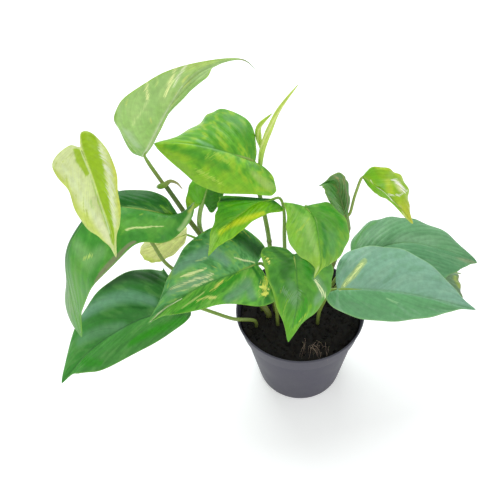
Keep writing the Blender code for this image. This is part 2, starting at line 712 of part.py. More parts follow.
def main():
    for obj in list(bpy.data.objects):
        bpy.data.objects.remove(obj)
    parts = bpy.data.collections.new("potted_pothos")
    bpy.context.scene.collection.children.link(parts)
    make_pot(parts)
    make_soil(parts)
    make_stems(parts)
    for name, leaf in LEAVES.items():
        make_leaf(name, leaf, parts)


main()
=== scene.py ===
# %% [markdown]
# # A potted pothos, dressed
#
# The CAD holds the plant as plain solids: a nursery pot, its soil, three stems and eighteen leaves. This
# lesson puts living surfaces over them. Every leaf is worked out again from the same few points in space,
# but finely enough for veins, wavy edges and a raised midrib, and each half is coloured with its own green,
# which holds painted sheen and painted shade as well as the leaf's own colour.
# Lengths are in millimetres until a mesh is made, which is in metres.

import math

import bpy
import numpy as np
from mathutils import Matrix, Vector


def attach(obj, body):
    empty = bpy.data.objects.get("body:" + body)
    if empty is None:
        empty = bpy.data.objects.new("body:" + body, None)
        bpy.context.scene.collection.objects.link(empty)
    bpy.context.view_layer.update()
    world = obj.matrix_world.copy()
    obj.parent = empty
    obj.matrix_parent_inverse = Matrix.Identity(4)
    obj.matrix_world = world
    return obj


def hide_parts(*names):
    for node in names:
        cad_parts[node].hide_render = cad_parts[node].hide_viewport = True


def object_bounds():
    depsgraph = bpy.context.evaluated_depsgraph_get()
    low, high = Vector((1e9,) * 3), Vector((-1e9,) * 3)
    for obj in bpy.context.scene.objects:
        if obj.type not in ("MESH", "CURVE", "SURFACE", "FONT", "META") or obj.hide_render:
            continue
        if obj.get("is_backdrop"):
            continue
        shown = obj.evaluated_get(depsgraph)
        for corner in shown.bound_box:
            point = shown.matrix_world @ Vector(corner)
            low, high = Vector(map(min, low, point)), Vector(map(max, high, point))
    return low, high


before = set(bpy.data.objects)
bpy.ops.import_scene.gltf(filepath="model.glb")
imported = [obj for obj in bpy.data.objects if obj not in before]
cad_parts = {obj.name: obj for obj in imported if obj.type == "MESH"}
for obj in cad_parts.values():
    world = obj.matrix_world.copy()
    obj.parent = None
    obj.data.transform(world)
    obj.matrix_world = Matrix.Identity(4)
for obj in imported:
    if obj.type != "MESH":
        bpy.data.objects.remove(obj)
cad_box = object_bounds()
MM = 0.001
print("nodes:", len(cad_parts), "box:", [round(v, 3) for corner in cad_box for v in corner])

# %% [markdown]
# The camera looks down on the plant at 47 degrees, from 0.7 m away, with the horizon tipped by a few
# degrees. Its axes are written out and set as one matrix, which is plainer than turning by angles. The
# lens is 675 pixels long where the photograph is 500 wide, on a 36 mm sensor.

# %% The camera
LOOK_DOWN = math.radians(47.2)
ROLL = math.radians(3.8)
DISTANCE = 700.0
AIM_RIGHT, AIM_UP = -43.0, 122.0
SENSOR = 36.0
LENS_PER_WIDTH = 675.0 / 500.0
ahead = np.array([0.0, math.cos(LOOK_DOWN), -math.sin(LOOK_DOWN)])
level = np.array([1.0, 0.0, 0.0])
upward = np.array([0.0, math.sin(LOOK_DOWN), math.cos(LOOK_DOWN)])
right = math.cos(ROLL) * level - math.sin(ROLL) * upward
up = math.sin(ROLL) * level + math.cos(ROLL) * upward
eye = AIM_RIGHT * level + AIM_UP * upward - DISTANCE * ahead
camera_data = bpy.data.cameras.new("camera")
camera_data.sensor_width = SENSOR
camera_data.lens = LENS_PER_WIDTH * SENSOR
camera = bpy.data.objects.new("camera", camera_data)
bpy.context.scene.collection.objects.link(camera)
axes = np.column_stack([right, up, -ahead, eye * MM])
camera.matrix_world = Matrix(np.vstack([axes, [0, 0, 0, 1]]).tolist())
bpy.context.scene.camera = camera
print("camera at", (eye * MM).round(3), "lens", camera_data.lens)

# %% [markdown]
# The plant was photographed in soft, bright light that comes mostly from above and behind, so the leaves
# that face up shine pale and blue, and the pot's front stays dark. A wide soft light high at the back
# does that, with a weak one in front. The floor is plain and white, and glows a little like a light
# table, so that it stays white to the picture's edge. The standard view transform keeps the greens as
# bright as the photograph's.

# %% Light and floor
FLOOR_HALF = 6.0
FLOOR_Z = -0.0002
bpy.context.scene.view_settings.view_transform = "Standard"


def soft_light(name, place, aim, width, power, colour):
    """A square area light at a place, turned so that it shines at its aim. All in metres."""
    data = bpy.data.lights.new(name, "AREA")
    data.shape = "SQUARE"
    data.size = width
    data.energy = power
    data.color = colour
    light = bpy.data.objects.new(name, data)
    bpy.context.scene.collection.objects.link(light)
    back = np.array(place, float) - np.array(aim, float)
    back /= np.linalg.norm(back)
    side = np.cross([0.0, 0.0, 1.0], back)
    side /= np.linalg.norm(side)
    turn = np.column_stack([side, np.cross(back, side), back, place])
    light.matrix_world = Matrix(np.vstack([turn, [0, 0, 0, 1]]).tolist())
    return light


middle = (-0.03, 0.0, 0.17)
soft_light("sky_light", (-0.25, 1.7, 2.6), middle, 2.4, 62.0, (0.93, 0.98, 1.0))
soft_light("front_light", (0.5, -2.2, 1.7), middle, 1.6, 16.0, (1.0, 0.985, 0.96))
world = bpy.data.worlds.new("room")
world.use_nodes = True
bpy.context.scene.world = world
world.node_tree.nodes["Background"].inputs["Color"].default_value = (0.97, 0.985, 1.0, 1.0)
world.node_tree.nodes["Background"].inputs["Strength"].default_value = 0.62

floor_mesh = bpy.data.meshes.new("floor")
corners = [(-1, -1), (1, -1), (1, 1), (-1, 1)]
floor_mesh.from_pydata([(x * FLOOR_HALF, y * FLOOR_HALF, FLOOR_Z) for x, y in corners], [], [(0, 1, 2, 3)])
floor = bpy.data.objects.new("floor", floor_mesh)
bpy.context.scene.collection.objects.link(floor)
floor_finish = bpy.data.materials.new("pale_floor")
floor_finish.use_nodes = True
floor_shader = floor_finish.node_tree.nodes["Principled BSDF"]
paper = {"Base Color": (0.93, 0.93, 0.93, 1.0), "Roughness": 0.9, "Specular IOR Level": 0.1,
         "Emission Color": (1.0, 1.0, 1.0, 1.0), "Emission Strength": 0.3}
for socket, value in paper.items():
    floor_shader.inputs[socket].default_value = value
floor_mesh.materials.append(floor_finish)
floor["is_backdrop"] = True

# %% [markdown]
# Three small helpers carry the whole plant. `unit` makes directions, `smooth_path` runs a smooth line
# through a few points, and `Route` reads such a line by the length along it. They are the CAD's own, so
# a midrib or stalk lies exactly where its solid does.

# %% Lines through space


def unit(v):
    """Each vector divided by its own length."""
    return v / np.maximum(np.linalg.norm(v, axis=-1, keepdims=True), 1e-9)


def smooth_path(points, steps=12):
    """A Catmull-Rom curve: each span is a cubic that leaves and arrives along its neighbours' chord."""
    p = np.array(points, float)
    p = np.vstack([2 * p[0] - p[1], p, 2 * p[-1] - p[-2]])
    t = np.linspace(0.0, 1.0, steps, endpoint=False)[:, None]
    spans = []
    for a, b, c, d in zip(p[:-3], p[1:-2], p[2:-1], p[3:]):
        bend = 2 * a - 5 * b + 4 * c - d
        twist = 3 * b - a - 3 * c + d
        spans.append(0.5 * (2 * b + (c - a) * t + bend * t**2 + twist * t**3))
    return np.vstack(spans + [p[-2:-1]])


class Route:
    """A smooth line that is read by the length along it, and that runs straight on before its start."""

    def __init__(self, points):
        self.line = smooth_path(points)
        steps = np.linalg.norm(np.diff(self.line, axis=0), axis=1)
        self.at = np.concatenate([[0.0], np.cumsum(steps)])
        self.length = self.at[-1]
        self.first = unit(self.line[2] - self.line[0])

    def point(self, s):
        """The place at a length s, read between the points of the line."""
        s = np.asarray(s, float)
        inside = np.stack([np.interp(s, self.at, self.line[:, k]) for k in range(3)], -1)
        return inside + np.minimum(s, 0.0)[..., None] * self.first

    def heading(self, s):
        """The direction from a little before a length s to a little after it."""
        s = np.clip(s, 0.0, self.length)
        step = 0.02 * self.length
        after = self.point(np.minimum(s + step, self.length))
        return unit(after - self.point(np.maximum(s - step, 0.0)))


print("a straight metre reads", Route([(0, 0, 0), (500, 0, 0), (1000, 0, 0)]).length, "mm")

# %% [markdown]
# Nothing living is even. `grain` is a soft random field over a plane: random numbers at whole positions,
# blended smoothly between them. It is seeded, so it gives the same plant every time. Stretched along the
# veins it makes the streaks of a variegated leaf.

# %% A soft random field


def grain(x, y, seed):
    """Value noise from 0 to 1: a sine hash gives each lattice corner a number, blended by a smoothstep."""
    x, y = np.broadcast_arrays(np.asarray(x, float), np.asarray(y, float))
    column, row = np.floor(x), np.floor(y)
    u, v = x - column, y - row
    u, v = u * u * (3 - 2 * u), v * v * (3 - 2 * v)

    def corner(i, j):
        value = np.sin((column + i) * 127.1 + (row + j) * 311.7 + seed * 74.7) * 43758.5453
        return value - np.floor(value)

    low = corner(0, 0) * (1 - u) + corner(1, 0) * u
    high = corner(0, 1) * (1 - u) + corner(1, 1) * u
    return low * (1 - v) + high * v


def rise(x, low, high):
    """0 below low, 1 above high and a smoothstep between."""
    t = np.clip((x - low) / (high - low), 0.0, 1.0)
    return t * t * (3 - 2 * t)


def shade(red, green, blue):
    """A screen colour from 0 to 255 as the linear colour that Blender's shaders work in."""
    c = np.array([red, green, blue], float) / 255.0
    return np.where(c <= 0.04045, c / 12.92, ((c + 0.055) / 1.055) ** 2.4)


def over(colour, layer, share):
    """The layer laid over the colour by a share from 0 to 1."""
    return colour + (layer - colour) * np.clip(share, 0.0, 1.0)[..., None]


sample = grain(np.arange(99) * 0.37, 0.5, 1)
print("grain from", sample.min().round(2), "to", sample.max().round(2))

# %% [markdown]
# Every piece is put into Blender the same way: arrays of points and faces go straight into the mesh, with
# a colour and a leaf position on each point where the finish needs them. A face list that came out inside
# out would have a negative volume, so the helper measures that and turns it round.

# %% Points and faces into a piece


def on_point(mesh, name, kind, values):
    """An attribute with one colour or vector on each point."""
    layer = mesh.attributes.new(name, {"color": "FLOAT_COLOR", "vector": "FLOAT_VECTOR"}[kind], "POINT")
    layer.data.foreach_set(kind, values.astype(np.float32).ravel())


def piece_of(name, node, points, quads, triangles=(), colour=None, place=None, finish=None, crisp=45,
             marks=None):
    """A mesh piece that stands for a CAD node. Points are millimetres.

    Each point may have a colour, a place on its leaf or stalk, and the colour and nearness of a mark.
    """
    quads = np.array(quads, np.int64).reshape(-1, 4)
    triangles = np.array(triangles, np.int64).reshape(-1, 3)
    halves = np.vstack([quads[:, [0, 1, 2]], quads[:, [0, 2, 3]], triangles])
    a, b, c = (points[halves[:, k]] for k in range(3))
    if np.einsum("ij,ij->i", a, np.cross(b, c)).sum() < 0:
        quads, triangles = quads[:, ::-1], triangles[:, ::-1]
    mesh = bpy.data.meshes.new(name)
    mesh.vertices.add(len(points))
    mesh.vertices.foreach_set("co", (points * MM).astype(np.float32).ravel())
    corners = np.concatenate([quads.ravel(), triangles.ravel()]).astype(np.int32)
    starts = np.concatenate([np.arange(len(quads)) * 4, len(quads) * 4 + np.arange(len(triangles)) * 3])
    mesh.loops.add(len(corners))
    mesh.loops.foreach_set("vertex_index", corners)
    mesh.polygons.add(len(starts))
    mesh.polygons.foreach_set("loop_start", starts.astype(np.int32))
    mesh.update(calc_edges=True)
    mesh.shade_smooth()
    mesh.set_sharp_from_angle(angle=math.radians(crisp))
    if colour is not None:
        on_point(mesh, "tint", "color", np.column_stack([np.clip(colour, 0, 1), np.ones(len(points))]))
    if place is not None:
        on_point(mesh, "leaf_place", "vector", place)
    if marks is not None:
        on_point(mesh, "marks", "color", np.clip(marks, 0, 1))
    piece = bpy.data.objects.new(name, mesh)
    bpy.context.scene.collection.objects.link(piece)
    if finish is not None:
        mesh.materials.append(finish)
    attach(piece, "root")
    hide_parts(node)
    return piece


# %% [markdown]
# A leaf's skin is satin: wax over cells. Its colour comes from the leaf itself as an attribute, because
# cream sectors, veins and the midrib follow how the blade grew; the same attribute also carries the painted
# sheen, painted highlight and painted shade laid on some leaves. The material only adds what is too fine
# for the mesh: thin darker lines between the small veins, a mottle a few millimetres across, uneven
# gloss, and a shallow bump. It also breaks up the cream marks: a second attribute holds their colour and
# how near each place is to a mark's middle, and noise stretched along the veins decides where it shows.
# A thin clear coat gives the wax its highlight.

# %% Materials


class Finish:
    """A material and its shader, with short ways to add the nodes that every finish here uses."""

    def __init__(self, name):
        self.material = bpy.data.materials.new(name)
        self.material.use_nodes = True
        self.nodes = self.material.node_tree.nodes
        self.link = self.material.node_tree.links.new
        self.shader = self.nodes["Principled BSDF"]

    def put(self, name, value):
        """A shader input set to a plain value, or linked to another node's output."""
        if isinstance(value, bpy.types.NodeSocket):
            self.link(value, self.shader.inputs[name])
        else:
            self.shader.inputs[name].default_value = value

    def attribute(self, name):
        """The outputs of a node that reads one of the mesh's own attributes."""
        node = self.nodes.new("ShaderNodeAttribute")
        node.attribute_name = name
        return node.outputs

    def where(self):
        """The position on the object, in metres."""
        return self.nodes.new("ShaderNodeTexCoord").outputs["Object"]

    def noise(self, source, scale, detail=2.0, stretch=(1.0, 1.0, 1.0)):
        """A noise texture on a position, stretched by a Mapping node."""
        mapping = self.nodes.new("ShaderNodeMapping")
        mapping.inputs["Scale"].default_value = stretch
        self.link(source, mapping.inputs["Vector"])
        texture = self.nodes.new("ShaderNodeTexNoise")
        texture.inputs["Scale"].default_value = scale
        texture.inputs["Detail"].default_value = detail
        self.link(mapping.outputs["Vector"], texture.inputs["Vector"])
        return texture.outputs["Fac"]

    def spread(self, value, low, high, start=0.3, end=0.7, blend="LINEAR"):
        """A value between start and end mapped to the range low to high."""
        node = self.nodes.new("ShaderNodeMapRange")
        node.interpolation_type = blend
        node.inputs["From Min"].default_value = start
        node.inputs["From Max"].default_value = end
        node.inputs["To Min"].default_value = low
        node.inputs["To Max"].default_value = high
        self.link(value, node.inputs["Value"])
        return node.outputs["Result"]

    def times(self, colour, value, low, high):
        """A colour multiplied by a noise value that is first spread from low to high."""
        node = self.nodes.new("ShaderNodeVectorMath")
        node.operation = "SCALE"
        self.link(colour, node.inputs[0])
        self.link(self.spread(value, low, high), node.inputs["Scale"])
        return node.outputs["Vector"]

    def total(self, value, factor, other):
        """A value times a factor, plus another value."""
        node = self.nodes.new("ShaderNodeMath")
        node.operation = "MULTIPLY_ADD"
        node.inputs[1].default_value = factor
        self.link(value, node.inputs[0])
        self.link(other, node.inputs[2])
        return node.outputs["Value"]

    def bump(self, height, strength, depth):
        """A shallow bump on the shader, as deep as so many millimetres."""
        node = self.nodes.new("ShaderNodeBump")
        node.inputs["Strength"].default_value = strength
        node.inputs["Distance"].default_value = depth * MM
        self.link(height, node.inputs["Height"])
        self.put("Normal", node.outputs["Normal"])


MARKS_START, MARKS_FULL = 1.72, 1.96


def broken_marks(finish, colour, along_veins):
    """The leaf's marks laid over a colour where their nearness and a stretched noise together are high."""
    marks = finish.attribute("marks")
    ragged = finish.noise(along_veins, 1.0, 4.0, (0.9, 0.2, 1.0))
    field = finish.total(ragged, 2.0, marks["Alpha"])
    mix = finish.nodes.new("ShaderNodeMix")
    mix.data_type = "RGBA"
    finish.link(finish.spread(field, 0.0, 1.0, MARKS_START, MARKS_FULL, "SMOOTHSTEP"), mix.inputs["Factor"])
    finish.link(colour, mix.inputs["A"])
    finish.link(marks["Color"], mix.inputs["B"])
    return mix.outputs["Result"]


def leaf_finish(name, gloss, coat, vein_depth):
    """Satin leaf skin: the blade's own colour and marks, with fine lines along the veins and a mottle."""
    finish = Finish(name)
    veins, where = finish.attribute("leaf_place")["Vector"], finish.where()
    lines = finish.noise(veins, 1.0, 2.0, (0.75, 0.055, 1.0))
    mottle = finish.noise(where, 260.0, 3.0)
    cells = finish.noise(where, 1500.0, 2.0)
    colour = broken_marks(finish, finish.attribute("tint")["Color"], veins)
    colour = finish.times(colour, lines, 0.94, 1.05)
    finish.put("Base Color", finish.times(colour, mottle, 0.9, 1.09))
    finish.put("Roughness", finish.spread(mottle, gloss - 0.06, gloss + 0.07))
    finish.bump(finish.total(cells, 0.25, lines), 0.5, vein_depth)
    finish.put("Specular IOR Level", 0.32)
    finish.put("Coat Weight", coat)
    finish.put("Coat Roughness", 0.3)
    return finish.material


leaf_skin = leaf_finish("leaf_skin", 0.4, 0.06, 0.25)
young_skin = leaf_finish("young_leaf_skin", 0.36, 0.1, 0.12)
print("leaf finishes:", leaf_skin.name, young_skin.name)

# %% [markdown]
# Stalks and stems are smoother and carry fine lengthwise fibres. The pot is thin moulded plastic with a
# dull satin face that has been rubbed and dusted a little. Soil is matt, crumbly and nearly black when
# it is wet. The fine roots on it are plain and dull.

# %% More materials


def stalk_finish(name, gloss, fibre):
    """Stalk skin: its own colour, with fine lengthwise fibres and small specks."""
    finish = Finish(name)
    lines = finish.noise(finish.attribute("leaf_place")["Vector"], 1.0, 2.0, (0.05, 1.6, 1.0))
    speck = finish.noise(finish.where(), 900.0, 3.0)
    colour = finish.times(finish.attribute("tint")["Color"], lines, 1 - fibre, 1 + fibre)
    finish.put("Base Color", finish.times(colour, speck, 0.9, 1.08))
    finish.put("Roughness", finish.spread(speck, gloss - 0.06, gloss + 0.08))
    finish.bump(lines, 0.5, 0.2)
    return finish.material


def pot_plastic():
    """Dull dark plastic, with dust in broad patches and the fine level lines of its mould."""
    finish = Finish("pot_plastic")
    where = finish.where()
    dust = finish.noise(where, 28.0, 5.0)
    pits = finish.noise(where, 420.0, 3.0)
    mould_lines = finish.noise(where, 1.0, 2.0, (40.0, 40.0, 900.0))
    base = finish.nodes.new("ShaderNodeRGB").outputs[0]
    base.default_value = (*(shade(80, 78, 94) * 0.62), 1.0)
    finish.put("Base Color", finish.times(finish.times(base, dust, 0.9, 1.16), pits, 0.94, 1.06))
    finish.put("Roughness", finish.spread(dust, 0.46, 0.6))
    finish.bump(mould_lines, 0.35, 0.1)
    return finish.material


def soil_finish():
    """Wet soil: two near blacks mixed by a clumpy noise, which also makes it rough and uneven."""
    finish = Finish("wet_soil")
    clumps = finish.noise(finish.where(), 240.0, 4.0)
    ramp = finish.nodes.new("ShaderNodeValToRGB")
    dark, light = ramp.color_ramp.elements
    dark.position, dark.color = 0.35, (0.0012, 0.001, 0.001, 1.0)
    light.position, light.color = 0.72, (0.011, 0.0075, 0.005, 1.0)
    finish.link(clumps, ramp.inputs["Fac"])
    finish.put("Base Color", ramp.outputs["Color"])
    finish.put("Roughness", finish.spread(clumps, 0.75, 0.95))
    finish.put("Specular IOR Level", 0.25)
    finish.bump(clumps, 0.8, 0.6)
    return finish.material


def root_finish():
    """A plain dull tan."""
    finish = Finish("root_hair")
    finish.put("Base Color", (*shade(170, 146, 128), 1.0))
    finish.put("Roughness", 0.7)
    return finish.material


stalk_skin = stalk_finish("stalk_skin", 0.42, 0.12)
pot_skin = pot_plastic()
soil_skin = soil_finish()
print("materials:", [m.name for m in bpy.data.materials])

# %% [markdown]
# ## The pot
#
# A nursery pot is one thin sheet of plastic: a tapered cup, a deeper band at the rim, and a lip rolled
# over so that it doesn't cut. It is turned, so its shape is a profile carried round the axis. Corners
# that a mould would round are rounded here by running each profile point through a short arc.

# %% Turn the pot
POT_SPOKES = 160
DRAIN_HOLES, DRAIN_CIRCLE, DRAIN_RADIUS = 6, 27.0, 3.5


def rounded(profile, radius, steps=4):
    """Each corner of a polyline replaced by a quadratic arc that starts and ends a radius away from it."""
    p = np.array(profile, float)
    out = [p[:1]]
    for before, corner, after in zip(p[:-2], p[1:-1], p[2:]):
        start = corner + unit(before - corner) * min(radius, 0.45 * np.linalg.norm(before - corner))
        end = corner + unit(after - corner) * min(radius, 0.45 * np.linalg.norm(after - corner))
        t = np.linspace(0.0, 1.0, steps + 1)[:, None]
        out.append(start * (1 - t) ** 2 + 2 * corner * t * (1 - t) + end * t**2)
    out.append(p[-1:])
    return np.vstack(out)


def closed_tube(rings, first_end, last_end):
    """Points and faces of a closed tube: rings of points, one after another, and a point at each end."""
    count, sides = rings.shape[:2]
    points = np.vstack([rings.reshape(-1, 3), [first_end, last_end]])
    grid = np.arange(count * sides).reshape(count, sides)
    after = np.roll(grid, -1, axis=1)
    quads = np.stack([grid[:-1], after[:-1], after[1:], grid[1:]], -1).reshape(-1, 4)
    first, last = np.full(sides, count * sides), np.full(sides, count * sides + 1)
    caps = np.vstack([np.stack([first, after[0], grid[0]], -1), np.stack([last, grid[-1], after[-1]], -1)])
    return points, quads, caps


def turned(profile, spokes):
    """A closed surface of revolution: radius and height of each profile point, at every spoke's angle.

    The profile starts and ends on the axis, where one point closes each end.
    """
    angle = np.linspace(0, 2 * math.pi, spokes, endpoint=False)[None, :]
    r, z = profile[1:-1, 0][:, None], profile[1:-1, 1][:, None]
    rings = np.stack([r * np.cos(angle), r * np.sin(angle), z + 0 * angle], -1)
    return closed_tube(rings, (0, 0, profile[0, 1]), (0, 0, profile[-1, 1]))


pot_profile = rounded(
    [(0, 0.9), (33.5, 0.9), (34.5, 0), (40.2, 0), (41.2, 3.2), (53.9, 75.0), (54.2, 75.6), (56.0, 76.0),
     (58.9, 91.6), (59.5, 92.2), (60.0, 92.8), (60.0, 94.6), (59.2, 95.0), (58.4, 94.5), (57.9, 92.0),
     (55.0, 76.5), (52.5, 75.0), (39.8, 3.0), (38.5, 2.0), (0, 2.0)],
    0.9,
)
points, quads, caps = turned(pot_profile, POT_SPOKES)
pot = piece_of("pot_cup", "pot", points, quads, caps, finish=pot_skin, crisp=60)
drills = []
for k in range(DRAIN_HOLES):
    turn = 2 * math.pi * (k + 0.5) / DRAIN_HOLES
    place = (DRAIN_CIRCLE * MM * math.cos(turn), DRAIN_CIRCLE * MM * math.sin(turn), 0.001)
    bpy.ops.mesh.primitive_cylinder_add(vertices=32, radius=DRAIN_RADIUS * MM, depth=0.008, location=place)
    drills.append(bpy.context.object)
for drill in drills:
    cut = pot.modifiers.new("drain", "BOOLEAN")
    cut.operation = "DIFFERENCE"
    cut.object = drill
    cut.solver = "EXACT"
bpy.context.view_layer.update()
drilled = bpy.data.meshes.new_from_object(pot.evaluated_get(bpy.context.evaluated_depsgraph_get()))
pot.modifiers.clear()
pot.data = drilled
for drill in drills:
    bpy.data.objects.remove(drill)
print("pot faces:", len(pot.data.polygons))

# %% [markdown]
# ## The soil
#
# Potting mix is a crust of crumbs of many sizes with bits of bark and fine roots in it. The crust is a
# disc whose height is the CAD's low mound plus finer noise. The crumbs are small rough lumps of twenty
# faces each, scattered with a fixed seed and worked out in one array.

# %% The crust and its crumbs
SOIL_LEVEL = 86.0


def pot_inside(z):
    """The radius of the pot's inner wall at a height."""
    return np.interp(z, (2.0, 75.0, 95.0), (39.5, 52.5, 58.5))


SOIL_RIM = float(pot_inside(SOIL_LEVEL)) - 0.3


def soil_height(r, angle):
    """The CAD's mound and lumps: highest in the middle, with waves round it that fade out at the wall."""
    share = r / SOIL_RIM
    lumps = np.sin(0.21 * r + 2 * angle) + np.cos(0.34 * r - 3 * angle + 1.0) + np.sin(5 * angle + 0.1 * r)
    return SOIL_LEVEL + 3.0 * (1 - share**2) + 0.8 * lumps * share * (1 - share**4)


def soil_surface(x, y):
    """The mound with crumbs of three sizes pressed into it."""
    r, angle = np.hypot(x, y), np.arctan2(y, x)
    rough = 2.2 * grain(x / 7, y / 7, 3) + 1.3 * grain(x / 2.6, y / 2.6, 5) + 0.7 * grain(x / 1.1, y / 1.1, 8)
    return soil_height(r, angle) - 2.0 + rough


rings, spokes = 56, 200
ring = np.linspace(0, 1, rings + 1)[1:, None] * SOIL_RIM
turn = np.linspace(0, 2 * math.pi, spokes, endpoint=False)[None, :]
x, y = ring * np.cos(turn), ring * np.sin(turn)
crust = np.stack([x, y, soil_surface(x, y)], -1)
skirt = [np.stack([r * np.cos(turn[0]), r * np.sin(turn[0]), z + 0 * turn[0]], -1)
         for r, z in ((52.2, 75.0), (39.0, 2.4))]
points = np.vstack([crust.reshape(-1, 3), *skirt, [[0, 0, float(soil_surface(0.0, 0.0))], [0, 0, 2.4]]])
grid = np.arange((rings + 2) * spokes).reshape(rings + 2, spokes)
after = np.roll(grid, -1, axis=1)
quads = np.stack([grid[:-1], grid[1:], after[1:], after[:-1]], -1).reshape(-1, 4)
top, foot = len(points) - 2, len(points) - 1
caps = np.vstack([np.stack([np.full(spokes, top), grid[0], after[0]], -1),
                  np.stack([np.full(spokes, foot), after[-1], grid[-1]], -1)])
piece_of("soil_crust", "soil", points, quads, caps, finish=soil_skin, crisp=180)

CRUMBS = 900
chance = np.random.default_rng(11)
bpy.ops.mesh.primitive_ico_sphere_add(subdivisions=1, radius=1.0)
lump = bpy.context.object
lump_points = np.array([v.co[:] for v in lump.data.vertices])
lump_faces = np.array([p.vertices[:] for p in lump.data.polygons])
bpy.data.objects.remove(lump)
count = CRUMBS
r = SOIL_RIM * np.sqrt(chance.uniform(0.0, 0.985, count))
turn = chance.uniform(0, 2 * math.pi, count)
size = 0.5 + 1.5 * chance.random(count) ** 3
x, y = np.minimum(r, SOIL_RIM - size) * np.cos(turn), np.minimum(r, SOIL_RIM - size) * np.sin(turn)
stretch = chance.uniform(0.7, 1.35, (count, 1, 3))
dents = chance.uniform(0.75, 1.15, (count, len(lump_points), 1))
crumbs = lump_points[None] * stretch * dents * size[:, None, None]
crumbs += np.stack([x, y, soil_surface(x, y) + 0.25 * size], -1)[:, None, :]
faces = (lump_faces[None] + np.arange(count)[:, None, None] * len(lump_points)).reshape(-1, 3)
piece_of("soil_crumbs", "soil", crumbs.reshape(-1, 3), [], faces, finish=soil_skin, crisp=30)
print("crumbs:", count, "triangles:", len(faces))

# %% [markdown]
# A patch of the photograph's soil has fine pale roots on it. Each is a thin five-sided tube along an arc
# that rises from the soil and comes down again, with a slight sideways wave.

# %% Root hairs
HAIR_STATIONS, HAIR_SIDES = 16, 5
HAIR_RADIUS = 0.11


def root_hairs(count, middle, seed):
    """Tubes along parabolas: height is 4 u (1 - u) times a lift over the line between a hair's two ends."""
    chance = np.random.default_rng(seed)
    u = np.linspace(0.0, 1.0, HAIR_STATIONS)[None, :]
    start = np.array(middle) + chance.normal(0.0, 1.0, (count, 2)) * (6.0, 3.5)
    turn = chance.normal(-math.pi / 2, 0.4, (count, 1))
    reach = chance.uniform(7.0, 19.0, (count, 1))
    wave = chance.uniform(-1.0, 1.0, (count, 1)) * np.sin(u * math.pi * chance.uniform(0.6, 1.6, (count, 1)))
    x = start[:, :1] + reach * u * np.cos(turn) - wave * np.sin(turn)
    y = start[:, 1:] + reach * u * np.sin(turn) + wave * np.cos(turn)
    ground = soil_surface(x, y)
    lift = chance.uniform(1.5, 6.5, (count, 1))
    z = ground[:, :1] * (1 - u) + ground[:, -1:] * u + lift * 4 * u * (1 - u)
    line = np.stack([x, y, z], -1)
    way = unit(np.gradient(line, axis=1))
    across = unit(np.cross(way, [0.0, 0.0, 1.0]))
    square = np.cross(way, across)
    angle = np.linspace(0, 2 * math.pi, HAIR_SIDES, endpoint=False)[:, None]
    ring = across[:, :, None] * np.cos(angle) + square[:, :, None] * np.sin(angle)
    body = line[:, :, None] + ring * HAIR_RADIUS * (1.1 - u)[..., None, None]
    grid = np.arange(count * HAIR_STATIONS * HAIR_SIDES).reshape(count, HAIR_STATIONS, HAIR_SIDES)
    after = np.roll(grid, -1, axis=2)
    quads = np.stack([grid[:, :-1], after[:, :-1], after[:, 1:], grid[:, 1:]], -1).reshape(-1, 4)
    first, last = grid[:, 0], grid[:, -1]
    fan = range(1, HAIR_SIDES - 1)
    caps = np.concatenate([first[:, [0, k + 1, k]] for k in fan] + [last[:, [0, k, k + 1]] for k in fan])
    return body.reshape(-1, 3), quads, caps


points, quads, caps = root_hairs(26, (10.0, -38.0), 4)
piece_of("soil_root_hairs", "soil", points, quads, caps, finish=root_finish(), crisp=180)
print("root hair faces:", len(quads) + len(caps))

# %% [markdown]
# ## Stalks and stems
#
# A stalk is a circle carried along a route. The ring at each station lies in a plane square to the route,
# measured from one fixed direction, so it doesn't twist. Petioles are channelled on one side and swell a
# little at both ends; stems have a ring at each node, where a leaf or a root once grew.

# %% A tube along a route
RING_BUMP, RING_WIDTH = 0.22, 1.3


def rings_round(way, angle):
    """Unit circles square to a line's headings, each started from one fixed direction so that none twists."""
    least = np.eye(3)[np.argmin(np.abs(way).max(axis=0))]
    across = unit(np.cross(way, least))[:, None, :]
    square = np.cross(way[:, None, :], across)
    return across * np.cos(angle)[..., None] + square * np.sin(angle)[..., None]


def tube(points, radius, sides=16, step=1.6, channel=0.0, rings_at=(), swell=0.0):
    """Points and faces of a round stalk, with its lengthwise and round-the-stalk position.

    The radius runs through the given values. A channel takes a share off it on one side; a ring adds a
    narrow bump at a share of the length; swell adds a share at both ends, dying away within a tenth.
    """
    route = Route(points)
    count = max(6, int(route.length / step))
    share = np.linspace(0.0, 1.0, count)
    s = share * route.length
    way = route.heading(s)
    angle = np.linspace(0, 2 * math.pi, sides, endpoint=False)[None, :]
    r = np.interp(share, np.linspace(0, 1, len(radius)), radius)
    for at in rings_at:
        r = r * (1 + RING_BUMP * np.exp(-(((s - at * route.length) / RING_WIDTH) ** 2)))
    r = r * (1 + swell * (np.exp(-share / 0.05) + np.exp(-(1 - share) / 0.05)))
    r = r * (1 + 0.05 * (grain(s / 9.0, 0.5, 4.0) - 0.5))
    facing = angle - math.pi / 2
    dip = 1 - channel * np.exp(-((np.angle(np.exp(1j * facing)) / 0.55) ** 2))
    r = r[:, None] * dip
    body = route.point(s)[:, None, :] + rings_round(way, angle) * r[..., None]
    first_end = route.point(0.0) - way[0] * 0.3 * radius[0]
    last_end = route.point(route.length) + way[-1] * 0.5 * radius[-1]
    verts, quads, caps = closed_tube(body, first_end, last_end)
    place = np.stack([s[:, None] + 0 * angle, angle * r.mean() + 0 * s[:, None], 0 * r], -1).reshape(-1, 3)
    place = np.vstack([place, [[0, 0, 0], [route.length, 0, 0]]])
    along = np.concatenate([np.repeat(share, sides), [0.0, 1.0]])
    return verts, quads, caps, place, along


